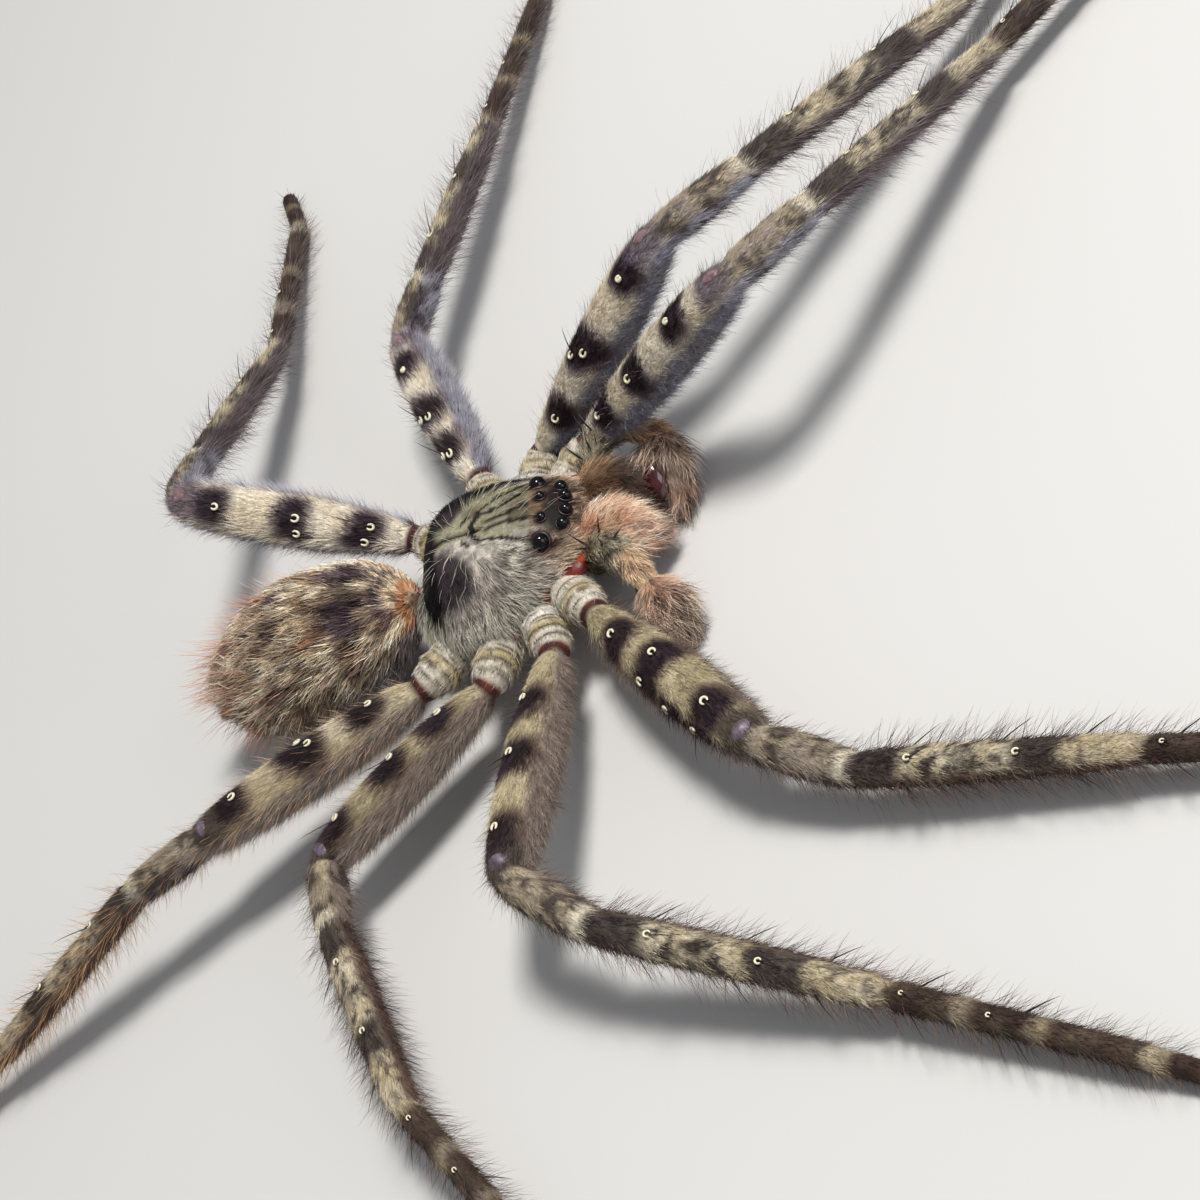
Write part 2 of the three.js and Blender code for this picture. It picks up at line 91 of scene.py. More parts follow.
def lattice(ix, iy, iz, seed):
    h = (ix * 73856093) ^ (iy * 19349663) ^ (iz * 83492791) ^ (seed * 97531)
    h &= 0xFFFFFFFF
    for _ in range(2):
        h ^= h >> 16
        h = (h * 0x45D9F3B) & 0xFFFFFFFF
    h ^= h >> 16
    return h / 4294967295.0


def noise(p, size_mm, seed=0):
    """Smooth value noise, 0 to 1, with blobs about size_mm across."""
    q = p / size_mm
    i = np.floor(q).astype(np.int64)
    f = q - i
    f = f * f * (3 - 2 * f)
    out = 0
    for a in (0, 1):
        for b in (0, 1):
            for c in (0, 1):
                w = (f[:, 0] if a else 1 - f[:, 0]) * (f[:, 1] if b else 1 - f[:, 1]) * (f[:, 2] if c else 1 - f[:, 2])
                out = out + w * lattice(i[:, 0] + a, i[:, 1] + b, i[:, 2] + c, seed)
    return out


def ss(a, b, x):
    t = np.clip((x - a) / (b - a), 0, 1)
    return t * t * (3 - 2 * t)


def bump(x, at, width):
    return np.exp(-((x - at) / width) ** 2)


def rgb(r, g, b):
    c = np.array([r, g, b], float) / 255
    return np.where(c <= 0.04045, c / 12.92, ((c + 0.055) / 1.055) ** 2.4)


def mix(a, b, w):
    w = np.atleast_1d(np.clip(np.asarray(w, float), 0, 1))[:, None]
    return a * (1 - w) + b * w


# ------------------------------------------------------------------ surfaces
class Surface:
    """A tube-like skin, as a grid of points: rows along it, columns round it."""

    def __init__(self, name, grid, seg, t, theta, group):
        self.name, self.P, self.seg, self.t, self.theta, self.group = name, grid, seg, t, theta, group
        n = np.roll(grid, -1, 1) - np.roll(grid, 1, 1)
        d = np.gradient(grid, axis=0)
        self.N = unit(np.cross(d, n))
        c = grid.mean(1, keepdims=True)
        if ((grid - c) * self.N).sum() < 0:
            self.N = -self.N
        self.D = unit(d)
        a = np.linalg.norm(np.cross(d, n / 2), axis=-1)
        self.area = a[:-1]

    def sample(self, n, weight=None):
        """n random places on it: row and column as real numbers."""
        w = self.area if weight is None else self.area * weight[:-1]
        cdf = np.cumsum(w.ravel()); cdf /= cdf[-1]
        k = np.searchsorted(cdf, rng.random(n))
        k = np.clip(k, 0, w.size - 1)
        i, j = np.unravel_index(k, w.shape)
        return i + rng.random(n), j + rng.random(n)

    def at(self, ri, rj, what):
        i = np.clip(np.floor(ri).astype(int), 0, len(self.P) - 2); j = np.floor(rj).astype(int)
        u = (ri - i)[:, None]; v = (rj - np.floor(rj))[:, None]
        n = self.P.shape[1]
        j0, j1 = j % n, (j + 1) % n
        return (what[i, j0] * (1 - u) * (1 - v) + what[i + 1, j0] * u * (1 - v)
                + what[i, j1] * (1 - u) * v + what[i + 1, j1] * u * v)

    def info(self, ri, rj):
        i = np.clip(np.floor(ri).astype(int), 0, len(self.P) - 2); u = ri - i
        same = self.seg[i] == self.seg[i + 1]
        t = np.where(same, self.t[i] * (1 - u) + self.t[i + 1] * u, self.t[i])
        th = (rj / self.P.shape[1]) * 2 * np.pi
        return self.seg[i], t, th


def spline(points, n):
    p = np.array(points, float)
    k = np.r_[0, np.cumsum(np.sqrt(np.linalg.norm(np.diff(p, axis=0), axis=1)))]
    k /= k[-1]
    return np.stack([smooth_table(list(zip(k, p[:, a])), np.linspace(0, 1, n)) for a in range(3)], 1)


def frames(c):
    d = unit(np.gradient(c, axis=0))
    u = unit(UP - d * (d @ UP)[:, None])
    return d, u, np.cross(d, u)


def tube(name, c, radius, tall, seg, t, group, sides):
    """A tube round the centre line c, as a grid of rings."""
    d, u, s = frames(c)
    th = (np.arange(sides)) / sides * 2 * np.pi
    grid = c[:, None] + radius[:, None, None] * (np.cos(th)[None, :, None] * s[:, None] + (np.sin(th)[None, :, None] * tall[:, None, None]) * u[:, None])
    return Surface(name, grid, seg, t, th, group)


def turned(az, tilt):
    a, e = math.radians(az), math.radians(tilt)
    return np.array([math.sin(a) * math.cos(e), -math.cos(a) * math.cos(e), math.sin(e)])


FEMUR = [(0, 0.6), (0.12, 0.72), (0.35, 0.94), (0.62, 1), (0.85, 0.9), (1, 0.72)]
PATELLA = [(0, 0.92), (0.4, 1), (1, 0.9)]
TIBIA = [(0, 0.92), (0.3, 1), (0.7, 0.93), (1, 0.82)]
COXA = [(0, 0.9), (0.3, 1.18), (0.7, 1.22), (1, 0.98)]
DEPTH = {0: 0.14, 1: 0.17, 2: 0.15, 3: 0.16, 4: 0.13, 5: 0.10}


def leg_joints(label, i):
    side = 1 if label == "L" else -1
    hip, lengths = LEGS[i]
    hip = np.array([side * hip[0], hip[1], hip[2]]) + np.array(HIP_SHIFT.get(label + str(i), (0, 0, 0)))
    root = np.array([side * COXA_ROOT[i][0], *COXA_ROOT[i][1:]])
    pts = [root, hip]
    pose = POSE[label + str(i)]
    for k in range(4):
        pts.append(pts[-1] + turned(*pose[k]) * lengths[k])
    tilt = math.degrees(math.asin((0.36 - pts[-1][2]) / lengths[4]))
    pts.append(pts[-1] + turned(pose[4][0], tilt) * lengths[4])
    return pts


def make_leg(label, i):
    pts = leg_joints(label, i)
    step = 0.24
    cs, seg, tt = [], [], []
    for k in range(6):
        a, b = pts[k], pts[k + 1]
        n = max(4, int(np.linalg.norm(b - a) / (step / 2 if k == 0 else step)))
        f = (np.arange(n) + 0.5) / n
        cs.append(a + (b - a) * f[:, None]); seg.append(np.full(n, k)); tt.append(f)
    c = np.concatenate(cs); seg = np.concatenate(seg); t = np.concatenate(tt)
    # rounded joints: a short running mean of the centre line
    k = np.exp(-0.5 * (np.arange(-5, 6) * step / 0.42) ** 2); k /= k.sum()
    pad = np.concatenate([c[:1] * 2 - c[5:0:-1], c, c[-1:] * 2 - c[-2:-7:-1]])
    c = np.stack([np.convolve(pad[:, a], k, "valid") for a in range(3)], 1)
    fw = 1.45 * (0.94 if i == 3 else 1)
    r = np.select([seg == 0, seg == 1, seg == 2, seg == 3, seg == 4],
                  [smooth_table(COXA, t), smooth_table(FEMUR, t) * fw, smooth_table(PATELLA, t) * 1.05,
                   smooth_table(TIBIA, t) * 0.975, 0.7 - 0.1 * t], 0.545 - 0.03 * t)
    depth = np.array([DEPTH[s] for s in seg])
    r = (r - depth) * (1 - (seg == 0) * (0.16 * bump(t, 0.58, 0.045) + 0.13 * bump(t, 0.80, 0.04)))
    pr = np.concatenate([r[:1].repeat(3), r, r[-1:].repeat(3)])
    kk = np.array([1, 2, 3, 4, 3, 2, 1.0])
    r = np.convolve(pr, kk / kk.sum(), "valid")
    arc = np.r_[0, np.cumsum(np.linalg.norm(np.diff(c, axis=0), axis=1))]
    starts = [arc[np.argmax(seg == s)] for s in range(1, 6)]
    for s0, pinch, w in zip(starts, (0.16, 0.13, 0.07, 0.14, 0.16), (0.5, 0.42, 0.3, 0.35, 0.25)):
        r = r * (1 - pinch * bump(arc, s0, w))
    end = arc[-1] - arc
    r = r * np.sqrt(np.clip(1 - np.clip((0.45 - end) / 0.5, 0, 1) ** 2, 0.02, 1))
    tall = np.select([seg == 0, seg <= 2, seg == 3], [1.0, 0.95, 0.9], 1.0)
    c = c.copy()
    c[:, 2] = np.maximum(c[:, 2], r * tall + 0.03)
    return tube(f"leg_{label}{i}", c, r, tall, seg, t, f"leg{i}", 28)


def make_prosoma():
    inset = 0.16
    y = FRONT + LONG * np.linspace(0, 1, 136)
    t = (y - FRONT) / LONG
    sides = 156
    a = np.arange(sides) / sides * 2 * np.pi
    c, s = np.cos(a), np.sin(a)
    rows, ts = [], []
    for k in range(7):      # the face, from its middle outwards
        f = math.sin((k + 0.35) / 7.35 * math.pi / 2)
        w = (smooth_table(HALF_WIDTH, 0) - inset) * f
        top = (smooth_table(TOP, 0) - inset - MARGIN) * f; bot = (MARGIN - smooth_table(BOTTOM, 0) - inset) * f
        yy = FRONT + inset * 0.4 - 0.3 * math.cos((k + 0.35) / 7.35 * math.pi / 2)
        rows.append((w, top, bot, yy)); ts.append(0.0)
    for yy, tt in zip(y, t):
        rows.append((smooth_table(HALF_WIDTH, tt) - inset, smooth_table(TOP, tt) - inset - MARGIN, MARGIN - smooth_table(BOTTOM, tt) - inset, yy)); ts.append(tt)
    for k in range(5):
        f = math.cos((k + 0.6) / 5.6 * math.pi / 2)
        rows.append(((1.5 - inset) * f, (4.4 - inset - MARGIN) * f, (MARGIN - 3.1 - inset) * f, FRONT + LONG + 0.15 * math.sin((k + 0.6) / 5.6 * math.pi / 2))); ts.append(1.0)
    grid = []
    for w, top, bot, yy in rows:
        x = w * np.sign(c) * np.abs(c) ** 0.86
        z = np.where(s >= 0, top * np.abs(s) ** 0.94, -bot * np.abs(s) ** 0.8)
        grid.append(np.stack([x, np.full(sides, yy), MARGIN + z], 1))
    grid = np.array(grid)
    x, yy, z = grid[..., 0], grid[..., 1], grid[..., 2]
    # fovea and the groove round the head part
    up = z > MARGIN
    dz = -0.28 * np.exp(-(x / 0.18) ** 2 - ((yy - 0.1) / 0.8) ** 2) * up
    line = np.abs(np.abs(x) - (0.5 + 0.52 * (-0.6 - yy)))
    dz -= 0.13 * np.exp(-(line / 0.3) ** 2) * ss(-3.4, -2.6, yy) * ss(0.2, -0.8, yy) * up
    grid[..., 2] += dz
    seg = np.zeros(len(rows), int)
    return Surface("prosoma", grid, seg, np.array(ts), a, "body")


def abdomen_frame():
    d = unit((AB_B - AB_A)[None])[0]
    s = unit(np.cross(d, UP)[None])[0]
    return d, s, np.cross(s, d)


def make_abdomen():
    inset = 0.34
    d, s, u = abdomen_frame()
    L = np.linalg.norm(AB_B - AB_A)
    sides = 80
    th = np.arange(sides) / sides * 2 * np.pi
    t = 0.5 - 0.5 * np.cos(np.linspace(0.05, 0.985, 96) * np.pi)
    w = np.maximum(smooth_table(AB_WIDTH, t) * AB_W - inset, 0.06); h = np.maximum(smooth_table(AB_HIGH, t) * AB_H - inset, 0.06)
    fade = np.sqrt(np.clip(1 - ((t - 0.5) / 0.5) ** 12, 0.02, 1))
    w *= fade; h *= fade
    sn = np.sin(th)
    grid = (AB_A + d * (t * L)[:, None])[:, None] + (np.cos(th)[None, :] * w[:, None])[..., None] * s + (sn * np.where(sn < 0, 0.94, 1))[None, :, None] * h[:, None, None] * u
    return Surface("abdomen", grid, np.zeros(len(t), int), t, th, "body")


def limb(name, points, table, group, n=60, sides=36, tall=1.0, inset=0.12, end_round=0.5):
    c = spline(points, n)
    t = np.linspace(0, 1, n)
    r = smooth_table(table, t) - inset
    arc = np.r_[0, np.cumsum(np.linalg.norm(np.diff(c, axis=0), axis=1))]
    tail = arc[-1] - arc
    d = unit(np.gradient(c, axis=0))
    extra = c[-1] + d[-1] * (r[-1] * np.sin(np.linspace(0.25, 1, 5) * np.pi / 2))[:, None]
    c = np.concatenate([c, extra]); r = np.concatenate([r, r[-1] * np.cos(np.linspace(0.25, 0.985, 5) * np.pi / 2)])
    t = np.concatenate([t, np.ones(5)])
    return tube(name, c, r, np.full(len(r), tall), np.zeros(len(r), int), t, group, sides)


S = {}
S["prosoma"] = make_prosoma()
S["abdomen"] = make_abdomen()
for label, side in (("L", 1), ("R", -1)):
    for i in (1, 2, 3, 4):
        S[f"leg_{label}{i}"] = make_leg(label, i)
    S[f"chelicera_{label}"] = limb(f"chelicera_{label}", ((side * 1.15, -4.2, 3.55), (side * 1.2, -5.65, 2.95), (side * 0.98, -6.6, 1.75)),
                                   [(0, 1.05), (0.45, 1.25), (0.8, 0.95), (1, 0.62)], "face", 50, 40, 1.05, 0.14)
    P = PALPS[label]
    S[f"palp_arm_{label}"] = limb(f"palp_arm_{label}", P[:4], [(0, 0.62), (0.4, 0.72), (0.75, 0.66), (1, 0.62)], "face", 56, 28, 1.0, 0.12)
    S[f"palp_tarsus_{label}"] = limb(f"palp_tarsus_{label}", P[3:], [(0, 0.6), (0.35, 0.98), (0.7, 0.84), (1, 0.5)], "face", 36, 28, 1.0, 0.2)
dA, sA, uA = abdomen_frame()
SPIN = AB_B - dA * 0.5 + np.array([0, 0, -0.75])
for k, out in enumerate((-1, 1)):
    a = SPIN + np.array([out * 0.3, 0, -0.1])
    S[f"spinneret_{k}"] = limb(f"spinneret_{k}", (a - dA * 0.4, a, a + dA * 1.25 + np.array([out * 0.2, 0, -0.25])), [(0, 0.5), (0.5, 0.42), (1, 0.28)], "body", 20, 18, 1.0, 0.08)

# places of the spine sockets, found on the skin where the photo shows them; the far legs follow the same plan
PLAN = {"femur": ((0.24, 82), (0.26, 128), (0.50, 84), (0.52, 122), (0.78, 88)),
        "tibia": ((0.24, 92), (0.62, 96)), "meta": ((0.10, 90), (0.42, 92))}
MEASURED = {"leg_R1": ((0.229, 80), (0.466, 103), (0.47, 40), (0.805, 92), (0.62, 20), (0.78, 18)),
            "leg_R2": ((0.27, 78), (0.53, 84), (0.85, 84)),
            "leg_R3": ((0.22, 74), (0.49, 76), (0.83, 76)),
            "leg_R4": ((0.194, 79), (0.454, 90), (0.50, 64), (0.806, 90)),
            "leg_L4": ((0.176, 103), (0.194, 146), (0.472, 112), (0.462, 144), (0.806, 114)),
            "leg_L3": ((0.19, 112), (0.23, 142), (0.43, 106), (0.47, 134), (0.77, 106)),
            "leg_L2": ((0.205, 42), (0.509, 50), (0.46, 76), (0.83, 60)),
            "leg_L1": ((0.2, 60), (0.449, 54), (0.74, 74))}


def socket_list(name):
    """(segment, t, angle in degrees, size) of each socket of this leg."""
    left = name[4] == "L"
    out = []
    femur = MEASURED.get(name)
    if femur is None:
        femur = [(t, a if left else 180 - a) for t, a in PLAN["femur"]]
    for t, a in femur:
        out.append((1, t, a, 1.0))
    for t, a in PLAN["tibia"]:
        out.append((3, t, a if left else 180 - a, 0.8))
    for t, a in PLAN["meta"]:
        out.append((4, t, a if left else 180 - a, 0.55))
    return out


def find(surface, seg, t):
    rows = np.where(surface.seg == seg)[0]
    return np.interp(t, surface.t[rows], rows.astype(float))


# ------------------------------------------------------------------ markings
CREAM, STRAW, OLIVE = rgb(226, 216, 194), rgb(192, 176, 142), rgb(146, 134, 104)
GREY, BLUEGREY, PINKGREY = rgb(150, 138, 128), rgb(146, 148, 162), rgb(190, 172, 166)
DARK, VIOLET, BROWN = rgb(40, 29, 27), rgb(60, 44, 58), rgb(92, 66, 54)
MAROON, ORANGE, SALMON = rgb(88, 30, 26), rgb(206, 132, 84), rgb(236, 196, 172)
WHITE, SAGE, BLACK = rgb(230, 224, 214), rgb(166, 166, 138), rgb(16, 12, 14)


# where the patterned back of each leg lies, as an angle round it
BACK_ANGLE = {"leg_R1": 96, "leg_R2": 74, "leg_R3": 72, "leg_R4": 84, "leg_L1": 78, "leg_L2": 74, "leg_L3": 124, "leg_L4": 112}


def leg_colour(s, seg, t, th, p):
    name = s.name
    left = name[4] == "L"
    up = np.sin(th)
    n1, n2, n3 = noise(p, 0.9, 1), noise(p, 0.32, 2), noise(p, 0.12, 3)
    tj = t + 0.05 * (n1 - 0.5) + 0.03 * (n2 - 0.5)
    facing = np.sin(th + math.radians(90 - BACK_ANGLE[name]))
    dorsal = ss(0.12, 0.62, facing + 0.3 * (n1 - 0.5))
    # pale ground of the legs; on the left legs it is painted lighter, painted light that offsets the shade they lie in
    # away from the key light
    pale = mix(rgb(250, 240, 222), rgb(226, 210, 182), n1) if left else mix(rgb(206, 192, 158), OLIVE, 0.05 + 0.7 * n1)
    if name == "leg_R4":
        pale = mix(CREAM, STRAW, 0.3 + 0.8 * n1)
    under = mix(rgb(158, 160, 176), GREY, 0.1 + 0.4 * n1) if left else mix(rgb(134, 120, 110), rgb(158, 142, 130), n2)
    darkc = mix(DARK, VIOLET, 0.6 * n1)
    halo = rgb(104, 84, 96) if left else rgb(100, 78, 70)
    # femur: a dark field round each socket, running out to the sides
    d = np.zeros(len(t))
    lengths = LEGS[int(name[5])][1]
    length = {1: lengths[0], 3: lengths[2], 4: lengths[3]}
    for k, st, sa, size_ in socket_list(name):
        da = (t - st) * length[k] - 0.15
        dth = (th - math.radians(sa) + np.pi) % (2 * np.pi) - np.pi
        rad, wide = {1: (1.25, 1.35), 3: (0.8, 0.8), 4: (0.55, 0.5)}[k]
        if k == 1 and abs(sa - 90) > 48:
            wide = 0.6
        near = 0.86 if left else 1.0
        blob = np.exp(-(np.abs(da) / (1.12 * near * size_)) ** 2.6 - (np.abs(dth) * rad / (wide * near)) ** 2.4) * (1.3 - 0.5 * n2)
        d = np.where(seg == k, np.maximum(d, blob), d)
    fem = mix(mix(under, pale, dorsal), halo, ss(0.10, 0.40, d) * 0.8)
    fem = mix(fem, darkc, ss(0.32, 0.72, d))
    end = ss(0.86, 0.93, tj) * ss(-0.1, 0.5, up)
    fem = mix(fem, mix(VIOLET, rgb(120, 104, 128), n2) if left else darkc, end * 0.85)
    fem = mix(fem, mix(rgb(46, 24, 24), rgb(88, 50, 46), n2), ss(0.042, 0.026, t + 0.04 * (n1 - 0.5)))
    # patella
    pat = mix(mix(under, mix(GREY, STRAW, n1), dorsal), darkc, ss(0.46, 0.62, 0.6 * n2 + 0.45 * n1) * 0.85)
    pat = mix(pat, CREAM, ss(0.84, 0.93, t) * dorsal * 0.85)
    # tibia
    def band(a, b, soft=0.025):
        return ss(a - soft, a + soft, tj) * ss(b + soft, b - soft, tj)
    dt = np.maximum.reduce([band(-0.2, 0.20), 0.55 * band(0.37, 0.46) * (0.5 + n2), band(0.57, 0.76)])
    dt = np.maximum(dt, 0.95 * ss(0.48, 0.66, n2) * band(0.22, 0.57))
    dt = np.maximum(dt, 0.8 * ss(0.60, 0.75, n2) * band(0.76, 1.0))
    tib = mix(mix(mix(under, BROWN, 0.75), mix(CREAM, STRAW, 0.2 + 0.8 * n1), dorsal), darkc, dt * (0.85 + 0.15 * n2) * (0.5 + 0.5 * dorsal))
    # metatarsus and tarsus
    dm = 1 - np.maximum.reduce([band(-0.2, 0.03, 0.015), 0.75 * band(0.27, 0.34), 0.6 * band(0.56, 0.61), band(0.93, 1.2, 0.015)])
    met = mix(mix(STRAW, GREY, n1), mix(DARK, BROWN, n2 * 0.55), dm * (0.85 + 0.15 * n1))
    tar = mix(mix(DARK, BROWN, 0.7 * n2), STRAW, ss(0.12, 0.02, t) * 0.6 + 0.25 * band(0.45, 0.6))
    # coxa with the ring of the trochanter
    cox = mix(mix(WHITE, CREAM, n1), STRAW, 0.8 * n2 * n1)
    cox = mix(cox, rgb(190, 172, 122), np.minimum(0.9 * bump(t + 0.1 * (n1 - 0.5), 0.66, 0.11) * (0.4 + n2), 1))
    for at, w in ((0.46, 0.014), (0.55, 0.012), (0.62, 0.022), (0.75, 0.028), (0.88, 0.026)):
        cox = mix(cox, mix(DARK, VIOLET, n1), 0.95 * bump(t + 0.06 * (n1 - 0.5) + 0.025 * (n2 - 0.5), at, w) * ss(0.15, 0.4, n2))
    cox = mix(cox, mix(rgb(50, 22, 22), rgb(120, 62, 50), n2), np.maximum(ss(0.3, 0.12, t), ss(0.94, 0.985, t)))
    out = np.select([(seg == k)[:, None] for k in range(5)], [cox, fem, pat, tib, met], tar)
    return out * (0.78 + 0.44 * n3)[:, None]


LINES = [((0.2, 0.05), (0.72, -0.3), 0.085), ((0.72, -0.3), (0.95, -1.4), 0.075), ((0.95, -1.4), (1.5, -2.55), 0.075),
         ((0.1, 0.0), (0.14, -1.0), 0.075), ((0.14, -1.0), (0.4, -2.5), 0.07), ((0.4, -2.5), (0.5, -3.2), 0.07), ((0.0, 0.2), (0.0, 2.8), 0.10),
         ((0.55, 0.5), (0.85, 0.2), 0.06), ((0.9, -0.2), (1.5, -1.2), 0.045), ((1.5, -1.2), (1.9, -2.2), 0.045)]


def line_distance(x, y, a, b):
    a, b = np.array(a), np.array(b)
    q = np.stack([x, y], 1) - a
    d = b - a
    k = np.clip(q @ d / (d @ d), 0, 1)
    return np.linalg.norm(q - k[:, None] * d, axis=1)


def prosoma_colour(s, seg, t, th, p):
    x, y, z = np.abs(p[:, 0]), p[:, 1], p[:, 2]
    n1, n2, n3 = noise(p, 1.1, 11), noise(p, 0.35, 12), noise(p, 0.12, 13)
    w = smooth_table(HALF_WIDTH, t)
    top = z > MARGIN + 0.1
    col = mix(mix(WHITE, SAGE, 0.45), PINKGREY, 0.1 + 0.7 * n1)
    col = mix(col, GREY, 0.55 * ss(0.45, 0.75, n2))
    col = mix(col, mix(WHITE, SAGE, n2), ss(5.5, 4.9, z) * ss(-0.6, 0.8, y) * 0.8)       # the pale edge
    clump = ss(0.3, 0.7, noise(p * [1, 0.6, 1], 0.2, 14))
    col = col * (0.62 + 0.62 * clump)[:, None]
    # olive median band, narrowing backwards on the right side; on the left side it runs right out to the flank as
    # painted shade, the olive tone that side takes away from the light
    band = 0.30 + 0.68 * ss(0.5, -1.4, y) + 0.12 * (n1 - 0.5)
    far = 2.1 + 0.1 * (n1 - 0.5)
    edge_ = np.where(p[:, 0] < 0, band, far)
    median = ss(edge_ + 0.1, edge_ - 0.1, x) * ss(2.7, 2.0, y)
    col = mix(col, mix(mix(OLIVE, SAGE, 0.15 + 0.8 * n2), rgb(92, 82, 60), 0.85 * ss(0.5, 0.8, n1) + 0.45 * ss(-1.4, -2.8, y)), median * 0.95)
    # dark patch on each rear side, black rear slope and crest
    patch = np.exp(-(np.abs(x - 1.9) / 1.25) ** 2.4 - (np.abs(y - 1.5 + 0.25 * (x - 1.9)) / 1.2) ** 2.4) * (0.85 + 0.5 * n2)
    col = mix(col, mix(BLACK, VIOLET, 0.2 + 0.8 * n1), 0.96 * ss(0.2, 0.7, patch))
    slope = ss(1.75, 2.25, y + 0.3 * (n1 - 0.5)) * ss(4.7, 5.2, z) * np.where(p[:, 0] < 0, ss(3.25, 2.75, x + 0.4 * (n1 - 0.5)), 1.0)
    rim = ss(1.75, 2.1, p[:, 0] + 0.15 * (n1 - 0.5) + 0.35 * ss(0.5, -2.2, y) * -1) * ss(-2.6, -1.9, y) * ss(4.3, 4.8, z)
    col = mix(col, BLACK, np.maximum(slope, rim))
    for a, b, wide in LINES:
        dist = line_distance(x + 0.05 * (n1 - 0.5), y + 0.05 * (n2 - 0.5), a, b)
        col = mix(col, BLACK, ss(wide + 0.065, wide + 0.01, dist) * 0.98 * (z > 5) * (1 if wide > 0.05 else p[:, 0] > 0))
    col = mix(col, BLACK, ss(0.35, 0.7, np.exp(-(x / 0.3) ** 2 - ((y - 0.1) / 0.5) ** 2)))
    # round the eyes and on the cheek
    near = np.full(len(x), 9.0)
    q = p.copy(); q[:, 0] = x
    for e in EYES.values():
        near = np.minimum(near, np.linalg.norm(q - np.array(e[:3]), axis=1) - e[3])
    field = ss(-3.3, -3.85, y + 0.5 * (n2 - 0.5)) * ss(4.62, 4.8, z) * ss(1.62, 1.3, x + 0.2 * (n2 - 0.5))
    field = np.maximum(field, ss(0.42, 0.2, np.linalg.norm(q - np.array(EYES["PME"][:3]), axis=1) - 0.1))
    col = mix(col, mix(BROWN, rgb(140, 100, 74), n1), ss(0.5, 0.22, near) * 0.75)
    col = mix(col, BLACK, np.maximum(ss(0.2, 0.08, near), field * 0.96))
    cheek = ss(-2.4, -3.1, y) * ss(5.0, 4.5, z) * top
    col = mix(col, mix(STRAW, SALMON, n1), cheek * 0.8)
    clyp = ss(-4.4, -4.6, y) * ss(4.7, 4.5, z)
    col = mix(col, mix(mix(WHITE, SALMON, n1), rgb(112, 56, 42), 0.8 * ss(0.4, 0.65, n2)), clyp * 0.9)
    gap = np.exp(-((y + 1.5) / 0.5) ** 2) + np.exp(-((y - 0.3) / 0.45) ** 2) + np.exp(-((y - 2.0) / 0.4) ** 2)
    red = ss(4.05, 3.75, z - 0.32 * gap * (0.5 + n1))
    col = mix(col, mix(rgb(126, 36, 24), rgb(204, 88, 46), n2), red * top * 0.92)
    belly = mix(BROWN, GREY, n1)
    col = np.where((z > MARGIN)[:, None], col, belly)
    return col * (0.8 + 0.4 * n3)[:, None]


def abdomen_colour(s, seg, t, th, p):
    n1, n2, n3 = noise(p, 1.3, 21), noise(p, 0.45, 22), noise(p, 0.16, 23)
    up, lat = np.sin(th), np.cos(th)
    col = mix(mix(rgb(240, 222, 196), rgb(216, 188, 154), 0.1 + 0.7 * n1), rgb(138, 106, 82), 0.9 * ss(0.5, 0.75, n2))
    c = t + 0.09 * np.abs(lat) + 0.09 * (n1 - 0.5) + 0.05 * (n2 - 0.5)
    d = np.zeros(len(t))
    for at, w, k in ((0.30, 0.02, 0.6), (0.40, 0.02, 0.6), (0.56, 0.02, 0.55), (0.66, 0.02, 0.6), (0.76, 0.02, 0.55), (0.87, 0.02, 0.6)):
        d = np.maximum(d, k * bump(c, at, w))
    d *= (0.1 + 1.4 * n2) * ss(-0.3, 0.2, up)
    big = np.exp(-(np.abs(t - 0.165) / 0.085) ** 2.6 - (np.abs(np.abs(lat) - 0.42) / 0.36) ** 2.6) * ss(-0.2, 0.2, up)
    d = np.maximum(d, big * (0.62 + 0.9 * n2))
    two = np.exp(-((t - 0.46) / 0.045) ** 2 - ((np.abs(lat) - 0.28) / 0.16) ** 2) * ss(0, 0.4, up)
    d = np.maximum(d, two * (0.5 + 0.9 * n2))
    arc = bump(t + 0.02 * np.abs(lat), 0.075, 0.014) * ss(0.2, 0.7, up)
    d = np.maximum(d, arc)
    col = mix(col, mix(mix(DARK, VIOLET, n1), rgb(128, 108, 112), 0.15 + 0.5 * n2), ss(0.3, 0.75, d))
    streak = ss(0.3, 0.7, noise(p * [1, 0.28, 1], 0.24, 24))
    col = col * (0.40 + 1.06 * streak)[:, None]
    col = mix(col, mix(BLUEGREY, PINKGREY, n1) * 0.75, ss(0.05, -0.35, up))
    col = mix(col, mix(rgb(184, 104, 58), rgb(206, 156, 106), 0.7 * n2), 0.9 * np.exp(-((t - 0.02) / 0.010) ** 2) * ss(-0.7, -0.3, up))
    col = mix(col, mix(DARK, BROWN, n1), ss(0.010, 0.004, t))
    col = mix(col, mix(GREY, BROWN, 0.5), ss(-0.75, -0.95, up))
    return col * (0.78 + 0.44 * n3)[:, None]


